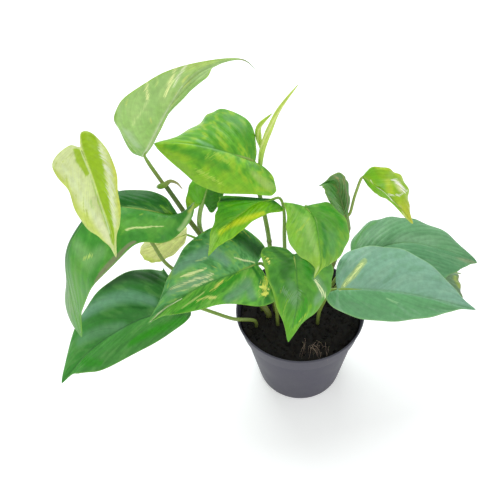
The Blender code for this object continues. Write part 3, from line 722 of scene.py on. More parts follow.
def stalk_piece(name, node, points, radius, colours, rings_at=(), **shape):
    """A tube whose colour runs through the given ones from foot to top, darker at its rings and the soil."""
    verts, quads, caps, place, along = tube(points, radius, rings_at=rings_at, **shape)
    stops = np.linspace(0, 1, len(colours))
    colour = np.stack([np.interp(along, stops, [c[k] for c in colours]) for k in range(3)], -1)
    # Near the soil the stalk is darkened: partly splashed soil, partly painted shade inside the pot.
    soil_splash_and_shade = 1 - rise(verts[:, 2], SOIL_LEVEL - 2, SOIL_LEVEL + 16)
    colour = over(colour, shade(44, 38, 24), 0.75 * soil_splash_and_shade)
    length = place[:, 0].max()
    for at in rings_at:
        colour = over(colour, shade(96, 84, 48), 0.75 * np.exp(-(((along - at) * length / 1.2) ** 2)))
    return piece_of(name, node, verts, quads, caps, colour, place, stalk_skin, crisp=180)


def standing(foot, points):
    """The points of a stalk that stands upright in the soil before it bends away."""
    x, y = foot
    return [(x, y, SOIL_LEVEL - 15), (x, y, SOIL_LEVEL - 3), (x, y, SOIL_LEVEL + 7)] + points


STEM_GREEN = shade(126, 156, 62)
STEM_BROWN = shade(116, 126, 56)

left_points = standing((-30, -2), [(-38, 3, 106), (-60, 11, 140), (-80, 18, 173), (-92, 25, 192),
                                   (-98, 29, 204), (-109.3, 33.2, 229)])
stalk_piece("stem_left_cane", "stem_left", left_points, (3.0, 1.9),
            [STEM_BROWN, STEM_BROWN, shade(74, 104, 36)], rings_at=(0.28, 0.48, 0.67, 0.8), sides=20)
hook_points = [(-116.5, 38, 222.5), (-114, 34.5, 226), (-109.5, 32.5, 229), (-104.3, 32, 233.2),
               (-99, 32, 230.5), (-95.5, 32, 224)]
stalk_piece("stem_left_hook", "stem_left", hook_points, (1.1, 2.4, 2.3, 1.4, 0.9, 0.4),
            [shade(116, 160, 50), shade(120, 160, 50), shade(150, 150, 90), shade(206, 190, 160)], step=0.8)
centre_points = standing((-23, 3), [(-24, 6, 120), (-26, 8, 176), (-29, 12, 206), (-33, 11, 235),
                                    (-34.5, 8, 251)])
stalk_piece("stem_centre_cane", "stem_centre", centre_points, (2.4, 1.7),
            [STEM_BROWN, STEM_GREEN, shade(110, 150, 50)], rings_at=(0.35, 0.6, 0.84))
right_points = standing((15, 4), [(19, 5, 110), (27, 7, 134), (33, 6, 162), (40, 6, 187), (38.5, 8, 204)])
stalk_piece("stem_right_cane", "stem_right", right_points, (2.4, 1.6),
            [STEM_BROWN, STEM_BROWN, shade(110, 140, 60)], rings_at=(0.4, 0.66, 0.9))

# %% [markdown]
# ## The blade
#
# A pothos leaf is a heart. Its edge is a curve of one number, t, from the notch at the petiole to the tip:
# how far along the midrib the edge is, and how wide. The blade's second number, a, runs from the left edge
# at -1 over the midrib at 0 to the right edge at 1. Each half reaches for its own shoulder point, so the
# two halves fold, droop and twist as they do on the plant. Side veins leave the midrib and sweep forward,
# so a vein is a line of constant q, which is t less a little for the way out.

# %% The blade's shape
WIDEST = 0.42
LOBE_AT = 0.14
BASE_SHARE = 0.2
VEINS = (9, 0.35)
EDGE_AT = (0.0, 0.07, 0.2, 0.42, 0.65, 0.83, 0.94, 1.0)


def leaf_edge(t, length, lobe, tail):
    """How far along the midrib the edge is, and its share of the half width, at t from notch to tip.

    Along grows with t to the power 1.5, less a lobe that rises quickly to its full reach and dies away.
    Width is a sine hump made fuller, drawn in towards the tip by tail.
    """
    along = length * t**1.5 - 1.5 * lobe * (t / LOBE_AT) * np.exp(1 - t / LOBE_AT)
    hump = np.clip(np.sin(math.pi * t**0.8), 0.0, 1.0) ** 0.7
    return along, hump * (1 - tail * t**5)


def along_edge(values, first, last, t):
    """A leaf's table read at t: its values stand at EDGE_AT between first and last, joined smoothly."""
    line = smooth_path(np.column_stack([EDGE_AT, [first, *values, last]]), steps=8)
    return np.interp(t, line[:, 0], line[:, 1])


def half_shape(leaf, half, t):
    """How much fuller than the plain heart a half is at t, and how far its edge is slid along the midrib."""
    full = leaf.get(half + "_full", (1.0,) * 6)
    slide = leaf.get(half + "_slide", (0.0,) * 6)
    return along_edge(full, full[0], full[-1], t), along_edge(slide, 0.0, 0.0, t)


def blade_middle(leaf, t, a):
    """The CAD's middle surface at rows t and columns a, the way it faces, and its half width."""
    route = Route(leaf["midrib"])
    on_left = a < 0
    lobe = np.where(on_left, leaf["lobe"][0], leaf["lobe"][1])
    tail = np.where(on_left, leaf["tail"][0], leaf["tail"][1])
    along, width = leaf_edge(t, route.length, lobe, tail)
    left_half = half_shape(leaf, "left", t)
    right_half = half_shape(leaf, "right", t)
    width = width * np.where(on_left, left_half[0], right_half[0])
    along = along + np.where(on_left, left_half[1], right_half[1])
    rib = route.length * t**1.7
    s = rib + (along - rib) * np.abs(a)
    share = np.clip(s / route.length, 0.0, 1.0)[..., None]
    sides = []
    for half in ("left", "right"):
        widest_at = leaf_edge(WIDEST, route.length, leaf["lobe"][half == "right"], 0.0)[0]
        reach = np.array(leaf[half], float) - route.point(widest_at)
        base_way = unit(np.array(leaf.get(half + "_base", reach), float))
        tip_way = unit(np.array(leaf.get(half + "_tip", reach), float))
        way = unit(reach) * (1 - share) + tip_way * share
        near_base = np.clip(1 - share / BASE_SHARE, 0.0, 1.0) ** 2
        sides.append(np.linalg.norm(reach) * unit(way + (base_way - way) * near_base))
    side = np.where(on_left[..., None], sides[0], sides[1])
    face = unit(np.cross(unit(sides[1]) - unit(sides[0]), route.heading(s)))
    bulge = np.where(on_left, leaf["bulge"][0], leaf["bulge"][1]) * 4 * np.abs(a) * (1 - np.abs(a)) * width
    points = route.point(s) + side * (np.abs(a) * width)[..., None] + face * bulge[..., None]
    return points, face, np.linalg.norm(side, axis=-1) * width


def blade_grid(leaf):
    """Rows and columns, closer together at the notch and the midrib, and the vein number q of each point."""
    length = Route(leaf["midrib"]).length
    fine = leaf.get("fine", 1.0)
    rows, columns = int(fine * np.clip(length / 0.8, 72, 176)), int(fine * np.clip(length / 3, 30, 50))
    t = np.linspace(0.0, 1.0, rows + 1)[:, None] ** 1.25
    u = np.linspace(-1.0, 1.0, 2 * columns + 1)[None, :]
    a = np.sign(u) * np.abs(u) ** 1.3
    t, a = np.broadcast_arrays(t, a)
    return t, a, t - 0.4 * np.abs(a) ** 1.2, length


def from_vein(leaf, q, a):
    """How far a place is from the nearest side vein, as a share of the way from one vein to the next."""
    phase = q * leaf.get("veins", VEINS)[0] + 0.5 * (a > 0)
    return phase - np.round(phase)


def blade_relief(leaf, t, a, q, half):
    """How far the skin stands off the middle surface: sunken veins, soft waves, and a ruffled edge."""
    depth = leaf.get("veins", VEINS)[1]
    out = np.abs(a)
    off = from_vein(leaf, q, a)
    fade = rise(out, 0.02, 0.2) * (1 - rise(out, 0.86, 1.0)) * rise(t, 0.02, 0.12)
    sunken = -depth * np.exp(-((off / 0.16) ** 2)) * fade
    swell = -0.8 * depth * np.cos(2 * math.pi * off) * fade
    seed = leaf["seed"]
    waves = 1.6 * (grain(t * 4.2, a * 1.6 + 7, seed) - 0.5) * rise(out, 0.0, 0.35)
    ruffle = 0.7 * np.sin(2 * math.pi * (t * 5.3 + 0.21 * seed)) * out**4
    ends = np.clip(half / 9.0, 0.0, 1.0)
    return (sunken + swell + waves + ruffle) * ends


print("edge at its widest:", leaf_edge(WIDEST, 100.0, 8.0, 0.4))

# %% [markdown]
# ## The blade's colour
#
# Each half starts from its own green, which on several leaves also holds painted sheen and painted shade,
# and blends towards the base and the tip. Then come large soft patches, pale streaks stretched along the
# veins, a mottle of darker and lighter spots, and the washes and lines that belong to this leaf alone; some
# washes are painted sheen, a painted highlight, painted light and a painted shadow. The side veins, the
# pale midrib and the thin light edge lie over them.
# Broken streaks come last: they are handed on to the material, which tears their edges finely.

# %% Colour a blade


def nearness(points, x, y, t, half, length):
    """How near each place on the blade is to a stroke: 1 on its middle line, 0 at its edge, less outside.

    A stroke's point becomes millimetres along and across the blade. From each place the nearest point of
    each straight piece is found, and its distance is taken as a share of the half width there.
    """
    spots = []
    for along, across, width in points:
        reach = np.interp(along, t[:, 0], half[:, 0] if across < 0 else half[:, -1])
        spots.append(np.array([along * length, across * reach, width]))
    if len(spots) == 1:
        spots = spots * 2
    near = np.full(x.shape, -9.0)
    for start, end in zip(spots[:-1], spots[1:]):
        line = end[:2] - start[:2]
        share = (x - start[0]) * line[0] + (y - start[1]) * line[1]
        share = np.clip(share / max(line @ line, 1e-6), 0, 1)
        away = np.hypot(x - start[0] - share * line[0], y - start[1] - share * line[1])
        near = np.maximum(near, 1 - away / (start[2] + (end[2] - start[2]) * share))
    return near


def base_coat(finish, t, a, q, half, seed):
    """Each half's green (partly painted sheen and shade), blended towards base and tip, with large soft
    patches.
    """
    # The two halves' greens hold painted sheen and painted shade as well as the leaf's own colour.
    colour = np.where((a < 0)[..., None], finish["left"], finish["right"]) + 0.0 * t[..., None]
    seam = rise(half * np.abs(a), 0.0, 2.5)
    colour = over((finish["left"] + finish["right"]) / 2 + 0.0 * colour, colour, seam)
    if "base" in finish:
        colour = over(colour, finish["base"], 0.85 * (1 - rise(t, 0.02, 0.34)))
    if "tip" in finish:
        colour = over(colour, finish["tip"], 0.85 * rise(t, 0.6, 0.98))
    patch = grain(q * 5 + 3, a * 1.5 + 9, seed + 2)
    return colour * (1 + 0.22 * (patch - 0.5))[..., None]


def speckled(colour, finish, t, a, q, half, length, seed):
    """Pale streaks stretched along the veins, then a mottle of darker and lighter spots."""
    out = np.abs(a)
    for share, tone, fine in finish.get("streaks", ()):
        field = 0.62 * grain(q * fine, a * 4.5 + 30, seed + 5)
        field = field + 0.38 * grain(q * fine * 2.6, a * 9 + 50, seed + 6)
        region = grain(q * 3.1, a * 1.2 + 4, seed + 8)
        amount = rise(field + 0.35 * (region - 0.5), 0.86 - share, 0.98 - share)
        colour = over(colour, tone, amount * rise(out, 0.0, 0.08))
    if "mottle" in finish:
        size, dark, light, strength = finish["mottle"]
        down, aside = (t - 0.15 * out) * length, half * a
        spots = 0.6 * grain(down / size, aside / (1.3 * size), seed + 20)
        spots = spots + 0.4 * grain(down / (0.4 * size), aside / (0.55 * size), seed + 21)
        colour = over(colour, dark, strength * (1 - rise(spots, 0.28, 0.46)))
        colour = over(colour, light, strength * rise(spots, 0.54, 0.72))
    return colour


def veined(colour, finish, leaf, t, a, q, half):
    """The side veins, the pale midrib and the thin light edge."""
    out = np.abs(a)
    line = np.exp(-((from_vein(leaf, q, a) / 0.05) ** 2)) * rise(out, 0.02, 0.1) * (1 - rise(out, 0.8, 0.98))
    colour = colour * (1 + finish.get("vein", 0.12) * line)[..., None]
    rib_width = finish.get("rib_width", 1.0) * (1 - 0.6 * t)
    rib = np.exp(-((half * out / np.maximum(rib_width, 0.2)) ** 2)) * (1 - rise(t, 0.82, 1.0))
    colour = over(colour, finish["rib"], 0.8 * rib)
    rim = 1 - rise((1 - out) * half, 0.25, 1.1)
    return over(colour, finish["edge"], 0.6 * rim * rise(half, 1.0, 4.0))


def blade_colour(finish, leaf, t, a, q, half, length):
    """Layers of colour at every point, then the broken marks over them: their colour and nearness.

    A mark's nearness is 1 on its middle line and 0.5 at its edge.
    """
    seed, out = leaf["seed"], np.abs(a)
    colour = base_coat(finish, t, a, q, half, seed)
    colour = speckled(colour, finish, t, a, q, half, length, seed)
    x, y = t * length, a * half
    fibre = 0.6 * grain(q * length / 1.3, half * out / 9 + 20, seed + 12)
    fibre = fibre + 0.4 * grain(q * length / 0.7, half * out / 5 + 60, seed + 13)
    strokes = finish.get("strokes", ())
    for kind, tone, strength, points in strokes:
        if kind != "streak":
            near = nearness(points, x, y, t, half, length)
            amount = rise(near, 0.0, 0.9) if kind == "wash" else rise(near + 0.25 * (fibre - 0.5), 0.05, 0.4)
            colour = over(colour, tone, strength * amount)
    colour = veined(colour, finish, leaf, t, a, q, half)
    mark, nearest = colour, np.zeros(out.shape)
    for kind, tone, strength, points in strokes:
        if kind == "streak":
            near = np.clip(0.5 + 0.5 * nearness(points, x, y, t, half, length), 0, 1)
            laid = over(colour, tone, strength + 0 * near)
            mark = np.where((near > nearest)[..., None], laid, mark)
            nearest = np.maximum(nearest, near)
    return np.concatenate([colour, mark, nearest[..., None]], axis=-1)


two_rows, flat = np.array([[0.0], [1.0]]), np.full((2, 1), 20.0)
near = nearness([(0.5, 0.0, 5.0)], np.array([50.0, 53.0]), np.zeros(2), two_rows, flat, 100.0)
print("nearness at 0 and 3 mm from a 5 mm spot:", near)

# %% [markdown]
# The blade is two skins, a little apart and sewn together round the edge. The upper one dips along the
# midrib and the lower one has its ridge there. Both end in a single point at the notch and at the tip. The
# petiole is a tube that comes up from the soil or a stem and runs on under the blade for a short way.

# %% Sew a leaf
HALF_THICK, EDGE_THINNER = 0.4, 0.2
RIDGE_HEIGHT, GROOVE_DEPTH = 1.1, 0.35
PETIOLE_RADIUS = 1.7


def make_leaf(name, leaf, top, under, skin=leaf_skin):
    """A closed blade and its petiole: two coloured skins a little apart, sewn round the edge."""
    t, a, q, length = blade_grid(leaf)
    middle, face, half = blade_middle(leaf, t, a)
    down, along = np.gradient(middle, axis=0), np.gradient(middle, axis=1)
    normal = np.cross(along, down)
    if (normal * face).sum() < 0:
        normal = -normal
    trust = np.clip(np.linalg.norm(normal, axis=-1) / 0.05, 0, 1)[..., None]
    normal = unit(unit(normal) * trust + face * (1.001 - trust))
    skin_height = blade_relief(leaf, t, a, q, half)
    thick = HALF_THICK - EDGE_THINNER * np.abs(a) ** 6
    out, ends = half * np.abs(a), np.clip(half / 5, 0, 1)
    ridge = RIDGE_HEIGHT * (1 - 0.8 * t) * np.exp(-((out / 1.3) ** 2)) * ends
    groove = GROOVE_DEPTH * np.exp(-((out / 0.9) ** 2)) * ends
    upper = middle + normal * (skin_height + thick - groove)[..., None]
    lower = middle + normal * (skin_height - thick - ridge)[..., None]
    rows, columns = t.shape[0] - 1, t.shape[1]
    count = 2 + (rows - 1) * columns
    grid = np.zeros((rows + 1, columns), np.int64)
    grid[rows] = 1
    grid[1:-1] = 2 + np.arange((rows - 1) * columns).reshape(rows - 1, columns)

    def listed(values):
        middle_column = columns // 2
        ends = np.stack([values[0, middle_column], values[-1, middle_column]])
        return np.vstack([ends, values[1:-1].reshape(-1, values.shape[-1])])

    corner = np.stack([grid[:-1, :-1], grid[:-1, 1:], grid[1:, 1:], grid[1:, :-1]], -1)
    quads = corner[1:-1].reshape(-1, 4)
    fans = np.vstack([corner[0][:, [0, 2, 3]], corner[-1][:, [0, 1, 2]]])
    edge = np.concatenate([grid[:, 0], grid[-2:0:-1, -1]])
    onward = np.roll(edge, -1)
    band = np.stack([edge, onward, onward + count, edge + count], -1)
    quads = np.vstack([quads, quads[:, ::-1] + count, band])
    fans = np.vstack([fans, fans[:, ::-1] + count])
    points = np.vstack([listed(upper), listed(lower)])
    colour = np.vstack([listed(blade_colour(top, leaf, t, a, q, half, length)),
                        listed(blade_colour(under, leaf, t, a, q, half, length))])
    place = listed(np.stack([q * length, np.abs(a) * half, leaf["seed"] * 9.0 + (a > 0) * 5.0], -1))
    place = np.vstack([place, place])
    tint, marks = colour[:, :3], colour[:, 3:]
    blade = piece_of(name + "_blade", name, points, quads, fans, tint, place, skin, marks=marks)
    route = Route(leaf["midrib"])
    stalk = standing(leaf["foot"], leaf["petiole"]) if "foot" in leaf else list(leaf["petiole"])
    if "grows_from" in leaf:
        stalk = [leaf["grows_from"]] + stalk
    below = 0.9
    for share in leaf.get("run", (0.02, 0.12, 0.3)):
        at = share * length
        mid = int(np.argmin(np.abs(t[:, 0] ** 1.7 - share)))
        stalk.append(tuple(route.point(at) - normal[max(mid, 2), columns // 2] * below))
        below = 0.8
    r = leaf.get("stalk", PETIOLE_RADIUS)
    colours = leaf.get("stalk_colours", [STEM_BROWN, STEM_GREEN, shade(138, 176, 70)])
    stalk_piece(name + "_petiole", name, stalk, (r, r, r * 0.95, 0.7), colours, channel=0.12, swell=0.08)
    return blade


print("blades wear", leaf_skin.name, "or", young_skin.name)

# %% [markdown]
# ## Where the colours lie
#
# Variegation is a record of how a leaf grew, so it can't be one pattern: each leaf has marks of its own,
# brush strokes on the blade. Not all of them are variegation: some washes are painted sheen, a painted
# highlight, painted light and a painted shadow. A stroke has a tone, a strength and a line of points, each
# with its place along the leaf (0 notch, 1 tip), its place across (-1 left edge, 1 right edge) and its half
# width in millimetres. A wash fades out softly, a line has a clear edge, and a streak is broken up along
# the veins.

# %% Strokes on the leaves on the left


def brush(kind):
    """A short way to write strokes of one kind: tone, strength, and then its points."""
    def stroke(tone, strength, *points):
        return kind, shade(*tone), strength, points
    return stroke


wash, line, streak = brush("wash"), brush("line"), brush("streak")
STROKES = {
    "leaf_top_arch": [
        wash((130, 180, 59), 0.75, (0.35, 1, 3), (0.22, 1, 4), (0.13, 1, 4), (0.09, 0.72, 3)),
        # painted sheen: the pale blue-white wash below
        wash((190, 210, 176), 0.5, (0.28, 0.58, 8), (0.19, 0.32, 6)),
        wash((190, 216, 105), 0.5, (0.78, 0.83, 9), (0.84, 1, 8)),
        wash((139, 184, 80), 0.6, (0.67, -0.62, 5), (0.49, -0.68, 4), (0.37, -0.52, 3)),
        streak((236, 246, 163), 0.9, (0.6, 1, 1.5), (0.58, 0.85, 3), (0.55, 0.62, 2)),
        streak((196, 223, 141), 0.7, (0.55, 0.57, 2), (0.47, 0.5, 2), (0.37, 0.52, 2)),
        streak((237, 245, 164), 0.95, (0.73, 1, 2), (0.68, 0.58, 3.4), (0.6, 0.3, 1.6)),
        streak((233, 240, 199), 0.8, (0.77, 1, 1.6), (0.72, 0.57, 2.4), (0.66, 0.3, 1.6)),
        streak((185, 214, 121), 0.8, (0.65, 1, 1.4), (0.62, 0.73, 2)),
        wash((150, 146, 84), 0.8, (0.95, 0.92, 3), (0.98, -0.77, 3), (0.99, 0, 2)),
        line((208, 228, 190), 0.8, (0.07, 0.1, 1.2), (0.32, 0, 1.2), (0.52, -0.05, 1), (0.68, 0.03, 0.8)),
    ],
    "leaf_pale_folded": [
        wash((192, 211, 76), 0.8, (0.24, 1, 3), (0.38, 1, 5), (0.53, 0.98, 5), (0.72, 0.8, 5),
             (0.93, 0.98, 4)),
        streak((215, 229, 176), 0.7, (0.23, 0.7, 3), (0.48, 0.63, 4), (0.72, 0.42, 3)),
        streak((216, 229, 169), 0.7, (0.19, 0.5, 2), (0.35, 0.48, 3), (0.54, 0.37, 2)),
        line((152, 192, 14), 1, (0.14, -0.87, 8), (0.27, -0.43, 9), (0.43, -0.25, 7.5), (0.63, -0.18, 6),
             (0.79, -0.05, 4), (0.91, 0.08, 2)),
        line((160, 196, 24), 0.95, (0.11, 0.25, 3), (0.25, 0.13, 4.5), (0.39, 0.13, 2.5)),
        wash((204, 213, 67), 0.8, (0.43, -0.98, 3), (0.59, -1, 3), (0.79, -1, 3)),
        streak((225, 235, 196), 0.85, (0.29, -0.85, 3), (0.45, -0.68, 4.4), (0.63, -0.65, 4.4),
               (0.83, -0.43, 3)),
        wash((232, 237, 189), 0.6, (0.73, 0.45, 6), (0.91, 0.67, 4)),
        streak((193, 219, 136), 1, (0.58, 0.37, 2), (0.63, 0.37, 2)),
        line((223, 240, 190), 0.75, (0.01, -0.08, 1), (0.32, 0.03, 1.2), (0.47, 0.02, 1.1),
             (0.67, 0.03, 1), (0.85, 0.17, 0.8)),
    ],
    "leaf_left_arch": [
        # painted shade: the deep green wash below, on the half turned from the light, over its own deep green
        wash((12, 98, 10), 0.9, (0.4, 0.35, 10), (0.29, 0.58, 11), (0.18, 0.52, 7)),
        wash((113, 182, 69), 0.55, (0.49, -0.55, 11), (0.37, -0.55, 12), (0.24, -0.58, 9)),
        wash((102, 168, 53), 0.5, (0.65, -0.47, 11), (0.8, -0.42, 10), (0.89, 0.15, 7)),
        streak((114, 172, 26), 1, (0.22, 0.32, 3), (0.17, 0.18, 4.4), (0.09, 0.05, 3)),
        line((110, 168, 90), 0.6, (0.02, 0.15, 0.8), (0.24, -0.03, 0.9), (0.33, 0.05, 0.8),
             (0.39, 0.07, 0.7)),
        line((212, 228, 150), 1, (0.49, -0.68, 1), (0.43, -0.62, 1.1), (0.37, -0.58, 0.8),
             (0.31, -0.62, 0.5)),
        wash((126, 180, 104), 0.7, (0.65, -0.18, 8), (0.65, -0.63, 10), (0.6, -0.67, 8)),
        # painted light: the pale washes by the notch on the left edge, where the blade turns from the light
        wash((170, 206, 130), 0.9, (0.25, -0.93, 3), (0.18, -0.87, 3.6), (0.13, -0.87, 3.6),
             (0.09, -1, 3)),
        streak((181, 218, 109), 1, (0.66, -0.47, 2), (0.63, -0.58, 2.4)),
        line((128, 138, 96), 0.95, (0.5, -0.95, 1.6), (0.56, -0.95, 2.2), (0.63, -0.95, 2.6),
             (0.68, -1, 2)),
        wash((190, 208, 91), 0.8, (0.13, -0.8, 4), (0.1, -1, 4)),
        wash((44, 147, 3), 0.75, (0.93, 0.22, 4), (0.98, 0.35, 4)),
    ],
    "leaf_pale_behind": [
        wash((190, 209, 70), 0.7, (0.86, -1, 4), (0.53, -1, 4), (0.29, -1, 4)),
    ],
    "leaf_low_left": [
        wash((10, 66, 6), 0.92, (0.58, 1, 10), (0.46, 0.93, 12), (0.28, 0.8, 12)),
        # painted sheen: the two grey-blue washes below
        wash((120, 170, 140), 0.62, (0.76, 0.93, 9), (0.63, 0.67, 11), (0.5, 0.5, 11), (0.39, 0.28, 9)),
        wash((112, 162, 120), 0.5, (0.83, 0.47, 8), (0.71, 0.18, 9), (0.63, 0.05, 7)),
        wash((46, 148, 6), 0.9, (0.47, -0.62, 6), (0.36, -0.57, 8), (0.21, -0.68, 8), (0.12, -0.82, 7)),
        wash((40, 140, 6), 0.85, (0.85, -0.3, 3.4), (0.74, -0.72, 5), (0.65, -0.82, 3.4)),
        wash((12, 96, 12), 0.85, (0.52, 0.28, 2), (0.48, 0.2, 3), (0.45, 0.17, 2)),
    ],
}
print("strokes on the left:", sum(len(rows) for rows in STROKES.values()))
